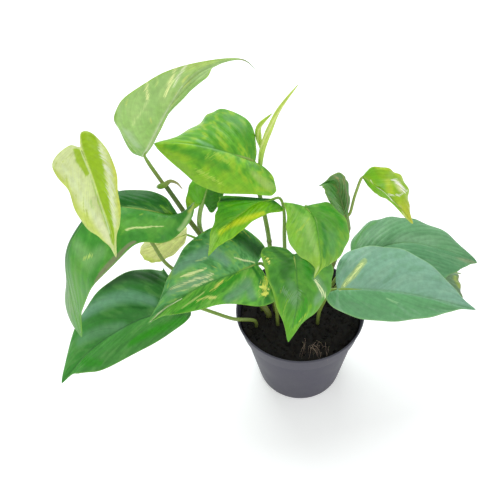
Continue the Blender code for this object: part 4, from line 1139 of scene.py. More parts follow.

# %% [markdown]
# In the middle, washes make the yellow patches and the deep green beside the veins; streaks make the cream
# flecks. The grey-blue washes on the two front leaves are painted sheen, a pale one on the upper heart is a
# painted highlight, and the dark one across the leaf under the heart is the heart's painted shadow.

# %% Strokes on the leaves in the middle
STROKES |= {
    "leaf_upper_heart": [
        wash((136, 188, 36), 0.8, (0.97, -0.5, 5), (0.85, -0.8, 7), (0.73, -0.9, 7), (0.53, -0.93, 6),
             (0.42, -0.97, 5)),
        wash((62, 144, 30), 0.65, (0.92, -0.2, 4), (0.79, -0.28, 7), (0.65, -0.35, 8), (0.51, -0.45, 7)),
        wash((150, 196, 48), 0.65, (0.68, 0.87, 4), (0.61, 1, 4), (0.47, 1, 3)),
        wash((66, 144, 26), 0.8, (0.29, 0.72, 8), (0.21, 0.47, 9), (0.17, 0.2, 6)),
        # painted highlight: the pale blue-green wash below
        wash((126, 184, 126), 0.6, (0.68, 0.15, 3), (0.63, 0.07, 4), (0.58, 0.03, 3)),
        wash((158, 194, 94), 0.8, (0.24, -0.48, 7), (0.21, -0.75, 8)),
        wash((128, 190, 36), 0.7, (0.56, -0.73, 5), (0.47, -0.68, 7), (0.42, -0.82, 6)),
        streak((160, 200, 60), 0.7, (0.63, -0.28, 3), (0.54, -0.13, 4), (0.49, -0.3, 4)),
        streak((176, 212, 80), 0.7, (0.72, -0.67, 3), (0.64, -0.72, 4), (0.57, -0.82, 3)),
        streak((170, 204, 84), 0.7, (0.66, 1, 2.6), (0.6, 0.55, 3)),
    ],
    "leaf_under_heart": [
        # painted shadow: the dark wash below, where the heart above shades this leaf
        wash((12, 92, 8), 1, (0.43, 0.92, 8), (0.24, 0.32, 10), (0.07, -0.05, 9)),
        wash((202, 223, 14), 0.95, (0.3, -0.85, 2.4), (0.57, -0.43, 3.4), (0.81, 0.05, 3)),
        streak((128, 181, 62), 0.8, (0.49, 0, 1.6), (0.63, 0.03, 1.6)),
        wash((148, 201, 78), 0.85, (0.89, 0.47, 5), (0.98, 0.95, 4)),
        streak((81, 154, 19), 0.8, (0.79, 0.32, 3), (0.69, 0, 3)),
    ],
    "leaf_behind_small": [
        wash((150, 192, 30), 0.8, (0.29, -0.9, 3), (0.11, -0.5, 3)),
    ],
    "leaf_front_mottled": [
        wash((8, 78, 6), 0.92, (0.32, 0.83, 8), (0.2, 0.63, 9), (0.11, 0.55, 6)),
        # painted sheen: the grey-blue washes on the upper half, here and lower down
        wash((112, 158, 128), 0.75, (0.74, 0.8, 7), (0.62, 0.62, 9), (0.49, 0.57, 8), (0.41, 0.25, 6)),
        wash((120, 160, 122), 0.6, (0.82, 0.43, 5), (0.72, 0.2, 6), (0.6, 0.13, 6)),
        wash((44, 148, 8), 0.85, (0.81, -1, 3), (0.7, -0.68, 5), (0.58, -0.53, 6), (0.47, -0.33, 5),
             (0.34, -0.13, 4)),
        wash((98, 152, 106), 0.85, (0.43, -0.8, 6), (0.37, -0.62, 9), (0.28, -0.37, 8), (0.28, -0.72, 6)),
        wash((24, 116, 4), 0.95, (0.16, 0, 4), (0.14, -0.33, 4.6), (0.17, -0.63, 5), (0.18, -0.92, 5)),
        streak((218, 220, 96), 1, (0.56, -0.4, 1.8), (0.52, -0.3, 2.8), (0.48, -0.18, 2.2)),
        line((216, 222, 110), 0.8, (0.53, -0.35, 0.5), (0.51, -0.28, 1.1), (0.49, -0.18, 0.5)),
        line((196, 214, 130), 0.7, (0.7, 0.4, 0.3), (0.67, 0.33, 0.7), (0.64, 0.28, 0.3)),
        line((206, 220, 150), 0.7, (0.66, 0.22, 0.3), (0.63, 0.18, 0.7), (0.59, 0.13, 0.3)),
        line((200, 218, 146), 0.7, (0.64, 0.07, 0.3), (0.61, 0.05, 0.7), (0.58, 0.03, 0.3)),
        line((190, 212, 130), 0.7, (0.6, 0.28, 0.3), (0.58, 0.28, 0.6), (0.56, 0.27, 0.3)),
        line((184, 208, 130), 0.7, (0.76, 0.18, 0.3), (0.74, 0.13, 0.6), (0.72, 0.1, 0.3)),
        line((208, 218, 110), 0.75, (0.56, -0.68, 0.4), (0.53, -0.68, 0.9), (0.51, -0.7, 0.4)),
        wash((128, 170, 120), 0.5, (0.75, 0.35, 5), (0.66, 0.2, 6), (0.56, 0.13, 5)),
        streak((198, 214, 110), 0.95, (0.65, -0.58, 1.6), (0.58, -0.57, 2), (0.52, -0.72, 2)),
        streak((122, 188, 40), 0.9, (0.45, -0.18, 1.6), (0.36, -0.05, 2), (0.27, 0.02, 1.6)),
        streak((176, 206, 110), 0.85, (0.76, -0.7, 1.2), (0.68, -0.5, 1.6), (0.61, -0.35, 1.6)),
        streak((212, 226, 150), 1, (0.72, 0.47, 1.8), (0.66, 0.37, 2.6), (0.6, 0.3, 2.4),
               (0.56, 0.28, 1.6)),
        streak((200, 216, 152), 0.95, (0.72, 0.28, 1.6), (0.65, 0.2, 2.2), (0.58, 0.12, 2.2),
               (0.53, 0.12, 1.4)),
        streak((190, 210, 144), 0.9, (0.71, 0.1, 1.4), (0.63, 0.05, 2), (0.55, 0.03, 1.4)),
        streak((192, 212, 142), 0.85, (0.81, 0.48, 1.6), (0.76, 0.33, 2.2), (0.71, 0.23, 1.4)),
        streak((172, 202, 130), 0.8, (0.6, 0.52, 1.4), (0.54, 0.47, 1.8)),
        streak((150, 192, 80), 0.8, (0.78, 0.95, 1.6), (0.8, 0.8, 1.8), (0.83, 0.67, 1.6)),
        streak((226, 234, 90), 1, (0.03, -0.73, 3.4), (0.14, -0.57, 6.4), (0.19, -0.72, 4.4)),
        line((230, 236, 104), 0.9, (0.06, -0.48, 1.2), (0.03, -0.92, 2)),
        line((232, 238, 120), 0.95, (0.19, -0.53, 1), (0.15, -0.58, 2.4), (0.12, -0.67, 1.4)),
        line((230, 236, 104), 0.9, (0.2, -0.7, 1), (0.18, -0.73, 2.2), (0.15, -0.73, 1.2)),
        streak((70, 150, 20), 0.9, (0.08, -0.62, 2), (0.14, -0.67, 2)),
        line((216, 232, 164), 0.9, (0.34, 0.3, 0.5), (0.26, 0.2, 0.8), (0.12, 0.1, 0.5)),
        line((236, 244, 200), 0.8, (0.99, -0.6, 0.5), (0.93, 0.05, 0.9), (0.85, -0.03, 1),
             (0.77, -0.12, 0.6)),
    ],
    "leaf_front_centre": [
        wash((36, 106, 10), 0.9, (0.2, 0.8, 6), (0.26, 0.27, 9), (0.5, 0.43, 6)),
        wash((92, 146, 84), 0.75, (0.56, 0.23, 7), (0.69, 0.07, 7)),
        wash((52, 146, 8), 0.85, (0.25, -0.25, 5), (0.43, -0.3, 5)),
        # painted sheen: the grey-blue wash below and the grey-blue streak further down
        wash((116, 162, 112), 0.75, (0.45, -0.48, 5), (0.58, -0.72, 6), (0.67, -0.63, 5)),
        wash((96, 168, 14), 0.85, (0.83, 1, 4), (0.91, 0.98, 5), (0.95, -0.13, 4)),
        wash((46, 140, 10), 0.8, (0.75, -0.35, 3), (0.84, -0.38, 4)),
        wash((126, 180, 30), 0.7, (0.39, 0.98, 2), (0.6, 1, 2), (0.83, 1, 2.4)),
        streak((226, 232, 110), 1, (0.4, 0.85, 2.2), (0.43, 0.83, 3)),
        streak((216, 232, 170), 1, (0.47, -0.47, 2.6), (0.56, -0.63, 3.4), (0.65, -0.93, 2)),
        streak((160, 200, 50), 0.9, (0.85, -0.37, 1.8), (0.78, -0.53, 2.4)),
        streak((44, 146, 6), 0.9, (0.19, -0.27, 4), (0.34, -0.3, 5), (0.43, -0.38, 3)),
        streak((56, 156, 6), 0.9, (0.67, -0.27, 3), (0.75, -0.27, 4), (0.84, -0.2, 4)),
        streak((112, 160, 102), 0.8, (0.63, 0.53, 4), (0.68, 0.25, 6), (0.6, -0.07, 4)),
        streak((120, 184, 20), 0.8, (0.72, -0.5, 3), (0.86, -0.63, 3), (0.91, -0.27, 3)),
    ],
    "leaf_centre_right": [
        wash((60, 152, 26), 0.6, (0.05, 0.57, 4), (0.23, 0.3, 4)),
        wash((136, 198, 50), 0.7, (0.17, 0.97, 4), (0.37, 0.9, 5), (0.6, 0.77, 5)),
        wash((158, 202, 104), 0.65, (0.36, 0.32, 5), (0.59, 0.28, 5), (0.77, 0.22, 3)),
        wash((48, 150, 12), 0.8, (0.22, -0.52, 5), (0.29, -0.8, 6), (0.44, -0.78, 4)),
        wash((44, 130, 40), 0.7, (0.45, -0.18, 2.6), (0.63, -0.23, 3), (0.79, -0.2, 2)),
        wash((92, 158, 84), 0.6, (0.56, -0.45, 6), (0.71, -0.52, 5)),
        streak((170, 206, 70), 0.7, (0.47, 0.72, 1.4), (0.43, 0.45, 2), (0.35, 0.18, 1.4)),
        streak((110, 176, 50), 0.7, (0.34, 0.82, 1.4), (0.31, 0.5, 2)),
        line((176, 208, 130), 0.6, (0.36, -0.03, 0.5), (0.61, 0, 0.6), (0.86, 0, 0.6)),
        wash((180, 206, 120), 0.8, (0.91, 0.23, 2.4), (0.98, 1, 2)),
    ],
}
print("strokes so far:", sum(len(rows) for rows in STROKES.values()))

# %% [markdown]
# The leaves on the right are bluer, partly from painted sheen, with a painted pale sheen along the veins, and
# the youngest is marbled in white.

# %% Strokes on the leaves on the right
STROKES |= {
    "leaf_small_dark": [
        wash((62, 134, 48), 0.7, (0.93, -0.37, 5), (0.53, 0.67, 5)),
        wash((112, 158, 92), 0.6, (0.72, -0.12, 4), (0.42, -0.15, 4)),
        line((154, 154, 112), 0.7, (0.82, -0.87, 0.6), (0.62, -0.05, 0.8), (0.11, -0.2, 0.8)),
        line((138, 118, 96), 0.6, (0.63, -0.78, 0.8), (0.39, -0.55, 0.8), (0.14, -0.72, 0.8)),
    ],
    "leaf_young_right": [
        wash((66, 148, 5), 0.95, (0, -1, 4), (0.1, 1, 4)),
        wash((110, 178, 8), 0.8, (0.14, -0.48, 6), (0.49, -0.08, 5)),
        wash((178, 200, 30), 0.7, (0.14, -0.95, 3), (0.33, -1, 3), (0.53, -0.9, 2.4)),
        wash((186, 208, 30), 0.7, (0.41, -0.43, 4), (0.61, -0.13, 4)),
        wash((222, 228, 160), 0.8, (0.54, -0.62, 5), (0.63, -0.57, 4.5)),
        streak((246, 248, 236), 1, (0.47, -0.58, 3), (0.6, -0.7, 4), (0.68, -0.65, 3)),
        streak((240, 244, 220), 0.9, (0.6, 0.6, 1.6), (0.68, -0.37, 2), (0.66, -0.92, 1.6)),
        wash((150, 188, 10), 0.85, (0.73, -0.07, 2.4), (0.71, -0.47, 2.2)),
        line((232, 240, 200), 0.8, (0.25, -0.07, 0.5), (0.48, 0.22, 0.7), (0.6, 0.6, 0.8)),
        wash((200, 210, 112), 0.8, (0.8, -0.03, 3), (0.77, 0.77, 3), (0.82, 1, 2)),
        line((228, 232, 180), 0.6, (0.6, 0.6, 0.7), (0.76, 0.28, 0.6), (0.76, 0.95, 0.5)),
    ],
    "leaf_right_back": [
        wash((78, 148, 60), 0.8, (0.08, -0.4, 5), (0.18, -0.78, 6), (0.3, -0.88, 5)),
        # painted sheen: the broad pale wash along the midrib
        wash((135, 179, 138), 0.5, (0.56, -0.1, 12), (0.75, -0.07, 11)),
        wash((157, 169, 127), 0.5, (0.82, 0.73, 5), (0.94, 0.83, 4)),
    ],
    "leaf_right_hidden": [
        wash((180, 199, 92), 0.8, (0.61, -0.92, 2.4), (0.84, -0.95, 2.4)),
    ],
    "leaf_right_front": [
        wash((82, 144, 87), 0.5, (0.02, -0.95, 5), (0.17, -0.78, 5)),
        line((170, 196, 120), 0.7, (0.13, -0.03, 3.6), (0.25, -0.33, 5), (0.32, -0.62, 3.6)),
        streak((221, 233, 152), 1, (0.16, -0.12, 2.4), (0.25, -0.33, 3.6), (0.31, -0.57, 2.4)),
        streak((155, 202, 145), 0.7, (0.51, 0.28, 2), (0.56, 0.4, 2)),
    ],
}
print("strokes in all:", sum(len(rows) for rows in STROKES.values()))

# %% [markdown]
# ## The leaves on the left
#
# From here each leaf is data: the CAD's own points, and the colours of its upper and lower face. The top
# leaf arches up and away, so its pale underside shows, with yellow streaks. The pale one is nearly all
# cream, folded down its midrib, with lime bands beside it. The dark one arches over and hangs its tip. The
# low one is the largest, and of the pale one behind them little is seen.

# %% Colours that leaves share
TONES = ("left", "right", "rib", "edge", "base", "tip")
RIB = (150, 190, 90)
EDGE = (150, 190, 80)
LIME = (160, 200, 20)


def painted(mottle=None, streaks=(), **look):
    """How one face of a blade is painted, with each tone given as its red, green and blue out of 255."""
    look = {key: shade(*value) if key in TONES else value for key, value in look.items()}
    if mottle:
        size, dark, light, strength = mottle
        look["mottle"] = (size, shade(*dark), shade(*light), strength)
    look["streaks"] = [(where, shade(*tone), count) for where, tone, count in streaks]
    return look


def plain_under(left, right=None):
    """An underside: paler and greyer than the top, with a light midrib."""
    return painted(left=left, right=right or left, rib=(180, 208, 130), edge=EDGE, rib_width=1.6, vein=0.1)


# %% [markdown]
# A leaf's numbers are its midrib, the shoulders that its two halves reach for, how full each half is and how
# far its edge slides at six places from notch to tip, its lobes, and the way its petiole runs. After them
# stand its upper face, its underside and, for a young leaf, the smoother skin.

# %% Leaves on the left
make_leaf(
    "leaf_top_arch",
    dict(midrib=[(-123, 40, 254), (-97.1, 37.4, 300.2), (-71.8, 32.6, 333.2), (-42, 19.7, 348.7),
                 (-28.5, 11.1, 342)],
         left=(-96.6, 34.5, 289.1), right=(-131.5, 40.1, 305),
         left_full=(0.52, 0.45, 0.45, 1.71, 1.44, 1.08),
         left_slide=(7.5, 13.2, 14, 11.6, -5, -5),
         right_full=(0.61, 1, 1.07, 0.8, 0.53, 0.46),
         right_slide=(-5.6, -0.3, -1.1, -0.3, -5.2, -2.3),
         lobe=(1, -3), tail=(0.9, 0.9), bulge=(-2, -5),
         grows_from=(-109.8, 33.5, 227.5), run=(0.015, 0.05),
         petiole=[(-112.5, 37, 230), (-116, 38, 238), (-119.5, 38.8, 246.5)],
         seed=1, veins=(8, 0.17)),
    painted(left=(90, 150, 60), right=(80, 140, 50), rib=RIB, edge=EDGE),
    painted(strokes=STROKES["leaf_top_arch"], mottle=(8, (140, 190, 92), (190, 216, 132), 0.22),
            left=(162, 198, 124), right=(162, 202, 115), rib=(205, 218, 168), edge=LIME, rib_width=1.5,
            base=(141, 182, 115), streaks=[(0.1, (201, 216, 115), 26)], vein=0.08),
)
make_leaf(
    "leaf_pale_folded",
    dict(midrib=[(-161.9, 9.8, 290.8), (-157.5, 3.2, 273.1), (-154.4, -3.9, 250.1), (-150, -13, 226),
                 (-148.7, -23.5, 205.5)],
         left=(-141.1, 6.8, 276.2), right=(-183.9, -10, 266.1),
         left_full=(0.45, 0.91, 1.08, 1.07, 1.22, 1.12),
         left_slide=(9.5, 6.4, -3.5, -5.5, -5.6, -9.6),
         right_full=(0.45, 0.94, 0.68, 0.78, 0.81, 0.83),
         right_slide=(2.1, 3.1, 3, 5.9, 0.6, -4.2),
         lobe=(17, 7), tail=(0.5, 0.5), bulge=(2, 4),
         foot=(-36, 6),
         petiole=[(-46, 4, 108), (-78, 4, 128), (-113, 8, 154), (-126, 16, 177), (-137, 28, 196),
                  (-150, 40, 215), (-157, 36, 240), (-161, 24, 269), (-163, 15, 284)],
         seed=2, veins=(8, 0.11), stalk_colours=[STEM_GREEN, shade(130, 150, 70), shade(170, 196, 100)]),
    painted(strokes=STROKES["leaf_pale_folded"], left=(205, 221, 127), right=(214, 227, 156),
            rib=(222, 235, 136), edge=(190, 213, 93), streaks=[(0.13, (186, 205, 101), 30)], vein=0.05),
    plain_under((205, 220, 160), (205, 220, 150)),
    young_skin,
)
make_leaf(
    "leaf_left_arch",
    dict(midrib=[(-100.5, 13.9, 207), (-117.4, 14.6, 215.7), (-141.8, 16.4, 222.5), (-165.1, 14.5, 224.2),
                 (-192.4, -3.3, 195), (-198.5, -13.9, 150.2), (-200.5, -20.9, 100.2)],
         left=(-120.5, -12.7, 199.5), right=(-123.7, 36.3, 227.8),
         left_full=(1.08, 0.66, 0.83, 0.97, 0.85, 0.81),
         left_slide=(-3.3, -1.2, -9.3, -5.5, -7.3, -11.9),
         right_full=(0.54, 0.64, 0.45, 0.45, 1.09, 2.4),
         right_slide=(-6.4, -4.9, -1.5, 4.2, 10.3, 14), left_tip=(0.6, -0.8, 0.0),
         right_tip=(-0.6, 0.8, 0.0), left_base=(0.55, -0.2, 0.8),
         lobe=(1, -14), tail=(0.35, 0.35), bulge=(2, 4),
         grows_from=(-93.2, 25, 193.5),
         petiole=[(-94.5, 20, 198), (-97, 17, 204)],
         seed=3, fine=1.3, veins=(10, 0.08)),
    # The right half's deep green is partly its own colour and partly painted shade; the left is painted lit.
    painted(strokes=STROKES["leaf_left_arch"], mottle=(7, (32, 113, 21), (111, 176, 58), 0.3),
            left=(68, 149, 46), right=(19, 99, 13), rib=(96, 158, 74), edge=(123, 181, 58),
            base=(51, 125, 27), tip=(87, 161, 37), streaks=[(-0.04, (159, 197, 69), 40)], vein=0.14),
    plain_under((110, 160, 90)),
)
make_leaf(
    "leaf_low_left",
    dict(midrib=[(-100.3, -0.3, 112.7), (-128.7, -1.4, 103.9), (-160.3, -2.7, 90.5),
                 (-200.1, -12.4, 67.4), (-232.2, -30.2, 40.8)],
         left=(-148.5, -27.3, 82.9), right=(-160, 45.4, 122.8),
         left_full=(0.86, 0.89, 1.05, 1.2, 1.02, 0.71),
         left_slide=(-4.4, 0.4, 8.9, 9.6, 4.4, -2.4),
         right_full=(1.32, 0.84, 0.85, 0.94, 1.1, 1.35),
         right_slide=(14, 7.5, -1.8, -0.4, -1.8, -0.6),
         lobe=(0, 7), tail=(0.4, 0.4), bulge=(3, 4),
         foot=(-42, -12),
         petiole=[(-46, -12.5, 98), (-62, -13, 102), (-80, -8, 107), (-92, -4, 110)],
         seed=4, fine=1.2, veins=(10, 0.1)),
    # Its greens hold painted blue sheen as well as the leaf's own colour.
    painted(strokes=STROKES["leaf_low_left"], mottle=(8, (36, 108, 30), (108, 165, 85), 0.3),
            left=(72, 144, 58), right=(53, 121, 48), rib=(64, 122, 66), edge=(127, 183, 68),
            base=(39, 105, 30), tip=(58, 144, 43), streaks=[(-0.1, (155, 196, 92), 40)], vein=-0.12),
    plain_under((110, 156, 92)),
)
make_leaf(
    "leaf_pale_behind",
    dict(midrib=[(-98, 36, 166), (-118, 34, 160), (-142, 34, 152)],
         left=(-124, 24, 146), right=(-118, 46, 168),
         lobe=(4, 4), tail=(0.1, 0.1), bulge=(2, 2),
         foot=(-30, 22),
         petiole=[(-40, 24, 112), (-62, 28, 134), (-84, 34, 156)],
         seed=5, veins=(7, 0.11)),
    painted(strokes=STROKES["leaf_pale_behind"], left=(230, 231, 148), right=(237, 237, 167),
            rib=(223, 231, 129), edge=(201, 213, 72), streaks=[(0.05, (168, 201, 72), 22)], vein=0.04),
    plain_under((214, 220, 170)),
    young_skin,
)

# %% [markdown]
# ## The leaves above and in the middle
#
# The heart at the top of the centre stem is new and bright. Below it hang a lime one seen nearly edge
# on, and the mottled leaf at the front, patched in deep green and cream. Two more hang over the soil, and
# a small one stands behind them.

# %% Leaves in the middle
make_leaf(
    "leaf_upper_heart",
    dict(midrib=[(-34.8, 5, 270), (-54.7, 13.1, 274.2), (-73.9, 23.5, 273.6), (-94.4, 34.3, 270.3),
                 (-113.4, 42.4, 264.2)],
         left=(-53.8, -17.4, 253.6), right=(-57.1, 51.4, 291.6),
         left_full=(0.45, 0.93, 0.78, 1.08, 1.22, 1.26),
         left_slide=(-3.4, 0.4, -11.8, -6.6, -3.9, -4.1),
         right_full=(0.75, 0.98, 1.02, 0.97, 0.86, 0.8),
         right_slide=(4.9, 3.7, 6.3, -1, 1.7, 5.8),
         lobe=(6, 9), tail=(-0.1, 0.6), left_tip=(0.1, -0.7, -0.7), right_tip=(0.0, 0.85, -0.5),
         left_base=(0.45, -0.7, -0.4), bulge=(4, 5),
         grows_from=(-34.3, 8.5, 249.5),
         petiole=[(-34.5, 7.5, 255.5), (-35, 6, 263)],
         seed=6, veins=(9, 0.1)),
    painted(strokes=STROKES["leaf_upper_heart"], mottle=(5, (63, 140, 22), (166, 201, 41), 0.55),
            left=(113, 181, 32), right=(97, 170, 35), rib=(96, 166, 56), edge=(144, 195, 50),
            base=(103, 166, 50), tip=(133, 191, 32), vein=-0.14),
    plain_under((150, 196, 90)),
)
make_leaf(
    "leaf_under_heart",
    dict(midrib=[(-23.1, -0.3, 235.7), (-35.8, -1.7, 233.3), (-46.8, -5.2, 227.8), (-62.5, -11.8, 218.1),
                 (-76.4, -25.6, 202.4)],
         left=(-27.5, -12.5, 223.4), right=(-71.8, 8.4, 228.9),
         left_full=(1.24, 0.8, 0.59, 0.75, 0.88, 1.03),
         left_slide=(3.9, 8.5, 8.9, 5.4, -2, -6),
         right_full=(1.2, 1.1, 0.89, 0.78, 0.72, 0.78),
         right_slide=(0, -0.2, -5, -8.3, -9.6, -6.5),
         lobe=(6, -6), tail=(0.35, 0.35), bulge=(2, 3),
         foot=(-13, 1),
         petiole=[(-13, 0, 130), (-14, -2, 189), (-14, 0, 221), (-17, 1, 235)],
         seed=7, veins=(8, 0.17)),
    painted(strokes=STROKES["leaf_under_heart"], mottle=(5, (33, 126, 4), (137, 199, 24), 0.35),
            left=(116, 188, 7), right=(78, 166, 5), rib=(137, 199, 32), edge=(157, 208, 32),
            base=(53, 137, 5), tip=(137, 199, 48), vein=0.08),
    plain_under((140, 190, 60)),
)
make_leaf(
    "leaf_behind_small",
    dict(midrib=[(-80, 34, 206), (-72, 46, 222), (-60, 57, 238)],
         left=(-92, 40, 215), right=(-61, 40, 210),
         lobe=(8, 8), tail=(0.4, 0.4), bulge=(2, 2),
         grows_from=(-83, 21, 176.5),
         petiole=[(-85, 28, 179), (-85, 27, 190), (-83, 30, 200)], stalk=2.2,
         seed=8, veins=(7, 0.17), stalk_colours=[shade(140, 176, 90), shade(160, 190, 110)]),
    painted(strokes=STROKES["leaf_behind_small"], left=(104, 180, 40), right=(60, 130, 30), rib=RIB,
            edge=EDGE, vein=0.1),
    plain_under((130, 180, 80), (110, 160, 60)),
)
make_leaf(
    "leaf_front_mottled",
    dict(midrib=[(-37.7, -24.9, 189.1), (-57.2, -28.1, 183.2), (-81.3, -30.9, 175.1),
                 (-109.5, -36.6, 160.3), (-132.2, -42.7, 143.3)],
         left=(-53, -53.2, 158.3), right=(-66.4, 1.9, 205.9),
         left_full=(1.6, 1.18, 0.65, 0.61, 0.64, 0.68),
         left_slide=(4.1, 6.5, 7.1, 5.3, 0.1, -5.6),
         right_full=(0.45, 0.85, 1.05, 1.11, 1.08, 1.01),
         right_slide=(-2, 1.7, 2.4, 4.2, -0.8, -2.3), left_tip=(0.2, -0.9, 0.1),
         lobe=(12, 7), tail=(0.4, 0.4), bulge=(3, 4),
         foot=(-22, -13),
         petiole=[(-23, -13, 120), (-27, -14, 160), (-33, -20, 182)],
         seed=9, fine=1.6, veins=(9, 0.15)),
    # The right half's grey-blue green is partly painted sheen.
    painted(strokes=STROKES["leaf_front_mottled"], mottle=(4, (25, 105, 22), (139, 194, 80), 0.5),
            left=(94, 172, 47), right=(92, 164, 86), rib=(84, 150, 70), edge=(129, 186, 58),
            streaks=[(0.07, (191, 210, 95), 46)], vein=0.1),
    plain_under((120, 168, 90)),
)
make_leaf(
    "leaf_front_centre",
    dict(midrib=[(-9.4, -33.9, 207.1), (-7.8, -42.3, 191.8), (-7.9, -52.4, 173.6), (-12.3, -62.4, 157.6),
                 (-17.2, -70.5, 142.5)],
         left=(21.7, -31.8, 181.2), right=(-32.8, -38, 202.4),
         left_full=(1.02, 1.03, 1.03, 1.02, 0.99, 0.96),
         left_slide=(0.3, 0.2, 0.1, -0.3, -2.2, -3.7),
         right_full=(0.49, 0.92, 1.05, 1.03, 1.08, 1.05),
         right_slide=(3.9, 2.6, -6.9, -4.2, -4.1, -4.5),
         lobe=(6, 7), tail=(0.4, 0.4), bulge=(3, 3),
         foot=(-4, -14),
         petiole=[(-5, -14, 120), (-7, -18, 170), (-9, -28, 198)],
         seed=10, fine=1.3, veins=(9, 0.17)),
    painted(strokes=STROKES["leaf_front_centre"], mottle=(5, (22, 101, 8), (109, 169, 36), 0.35),
            left=(79, 151, 36), right=(70, 142, 36), rib=(66, 128, 48), edge=(131, 180, 65),
            base=(66, 135, 42), tip=(105, 180, 36), streaks=[(-0.02, (142, 186, 65), 40)], vein=0.1),
    plain_under((120, 170, 90)),
)
make_leaf(
    "leaf_centre_right",
    dict(midrib=[(1.1, -12, 237), (8.3, -18.8, 229.1), (10.7, -29.4, 214.5), (11.3, -39.2, 200.7),
                 (5.3, -46.2, 190.8)],
         left=(35.5, -19.3, 219.5), right=(-15.4, -23, 226.9),
         left_full=(1.12, 1.13, 0.99, 0.95, 0.7, 0.45),
         left_slide=(-1, -5.2, -3.1, 0.4, 0.7, -4.3),
         right_full=(0.85, 0.76, 0.99, 1.04, 0.99, 0.94),
         right_slide=(-0.8, 5.5, 2.7, 0.8, -2.8, -6),
         lobe=(6, 7), tail=(0.4, 0.4), bulge=(4, 3),
         foot=(6, -1),
         petiole=[(7, 1, 130), (7, 2, 190), (4, -3, 226)],
         seed=11, fine=1.3, veins=(9, 0.19)),
    # The right half's lighter green is partly painted light, on the half that faces it.
    painted(strokes=STROKES["leaf_centre_right"], mottle=(5, (61, 145, 20), (150, 198, 52), 0.35),
            left=(90, 160, 47), right=(128, 189, 68), rib=(96, 166, 60), edge=(150, 193, 72),
            tip=(150, 193, 62), vein=-0.1),
    plain_under((140, 186, 100)),
)

# %% [markdown]
# ## The leaves on the right
#
# Two broad blue-green ones lie over each other beside the pot, with a third showing only its edge. Above
# them a small dark leaf stands with its back to the viewer, and the youngest hangs from the tip, marbled
# in lime and white.

# %% Leaves on the right
make_leaf(
    "leaf_small_dark",
    dict(midrib=[(35.5, 8, 208), (31.3, 9.7, 224.6), (25.7, 9.1, 242), (13.8, 4.9, 241.9)],
         left=(37.4, 6.5, 235.6), right=(23.9, -1.8, 223.6),
         left_full=(0.6, 0.9, 1.05, 1.06, 0.99, 0.91),
         left_slide=(-6.2, -0.6, 5, 3.4, 3.7, -0.6),
         right_full=(0.45, 0.86, 1.15, 1.31, 1.26, 1.18),
         right_slide=(-1.3, 6.6, 11.5, 10, 4.5, 0.8),
         lobe=(2, 2), tail=(0.3, 0.3), bulge=(-3, -2),
         grows_from=(37.5, 8, 203),
         petiole=[(35.5, 8, 206.5)], stalk=1.1,
         seed=12, veins=(7, 0.14), stalk_colours=[shade(120, 140, 70), shade(120, 140, 70)]),
    painted(left=(70, 140, 54), right=(70, 140, 54), rib=RIB, edge=EDGE),
    painted(strokes=STROKES["leaf_small_dark"], left=(98, 144, 76), right=(92, 142, 68),
            rib=(104, 140, 74), edge=(147, 174, 82), rib_width=1.4, streaks=[(0.06, (172, 162, 88), 20)],
            vein=0.06),
)
make_leaf(
    "leaf_young_right",
    dict(midrib=[(48, 8, 246), (57.1, 6.6, 237.7), (67.1, 9.9, 227), (79.6, 7.3, 211.4),
                 (93.5, 4.4, 193.4)],
         left=(77, 22.6, 235.7), right=(66.1, 2.3, 224.4),
         left_full=(0.85, 1.03, 1, 1.04, 1, 0.96),
         left_slide=(3.4, 4.5, 3.8, 4.3, -0.9, -1.3),
         right_full=(1.02, 0.92, 0.84, 0.77, 0.99, 1.16),
         right_slide=(0.7, -0.8, -1.8, 3.1, 8.2, 3.2),
         lobe=(5, 2), tail=(0.5, 0.5), bulge=(3, 1),
         grows_from=(38.6, 8, 203.5),
         petiole=[(41, 8, 207.5), (43, 8, 223), (45, 8, 234), (47, 8, 243)], stalk=1.2,
         seed=13, fine=1.5, veins=(7, 0.11), stalk_colours=[shade(130, 150, 60), shade(150, 180, 80)]),
    painted(strokes=STROKES["leaf_young_right"], left=(140, 185, 10), right=(116, 177, 8),
            rib=(150, 190, 30), edge=(180, 202, 45), rib_width=1.3, base=(96, 165, 8), tip=(196, 198, 53),
            vein=0.08),
    plain_under((170, 200, 80)),
    young_skin,
)
make_leaf(
    "leaf_right_back",
    dict(midrib=[(49, 20, 132), (75, 30, 137), (104.6, 39.1, 132.2), (140.3, 36.7, 120.8),
                 (170.4, 30.5, 109.4)],
         left=(90.6, 68.4, 140.1), right=(105.6, 11.8, 123.1),
         left_full=(1.4, 1.3, 0.94, 0.85, 1.09, 1.2),
         left_slide=(4.4, 6.1, 0.8, -1.8, -1.9, -2.6),
         right_full=(2.4, 2.26, 1.52, 1.44, 1.31, 1.13),
         right_slide=(14, 14, 14, 4.7, 3.5, 4.2),
         lobe=(12, 8), tail=(0.4, 0.4), bulge=(4, 4),
         foot=(26, 12),
         petiole=[(29, 13, 104), (36, 15, 119), (43, 18, 128)],
         seed=14, veins=(12, 0.12)),
    # Its blue-grey greens are partly painted sheen.
    painted(strokes=STROKES["leaf_right_back"], mottle=(8, (80, 135, 85), (125, 171, 124), 0.35),
            left=(103, 158, 107), right=(89, 147, 98), rib=(121, 171, 115), edge=(121, 169, 94),
            base=(71, 142, 57), vein=-0.25),
    plain_under((120, 160, 110)),
)
make_leaf(
    "leaf_right_hidden",
    dict(midrib=[(62, 26, 107), (90, 25, 107), (125, 15, 97), (153, 2, 90)],
         left=(130.8, 33.3, 93.9), right=(98, 2, 96),
         left_full=(2.4, 2.21, 1.63, 1.28, 1.06, 0.85),
         left_slide=(14, 14, -2.9, -3.5, -1.6, -1.3),
         lobe=(8, 8), tail=(0.1, 0.1), bulge=(2, 2),
         foot=(36, 22),
         petiole=[(42, 23, 100), (54, 26, 105)],
         seed=15),
    painted(strokes=STROKES["leaf_right_hidden"], left=(123, 157, 118), right=(153, 199, 112), rib=RIB,
            edge=(153, 137, 71), vein=0.08),
    plain_under((130, 166, 110)),
)
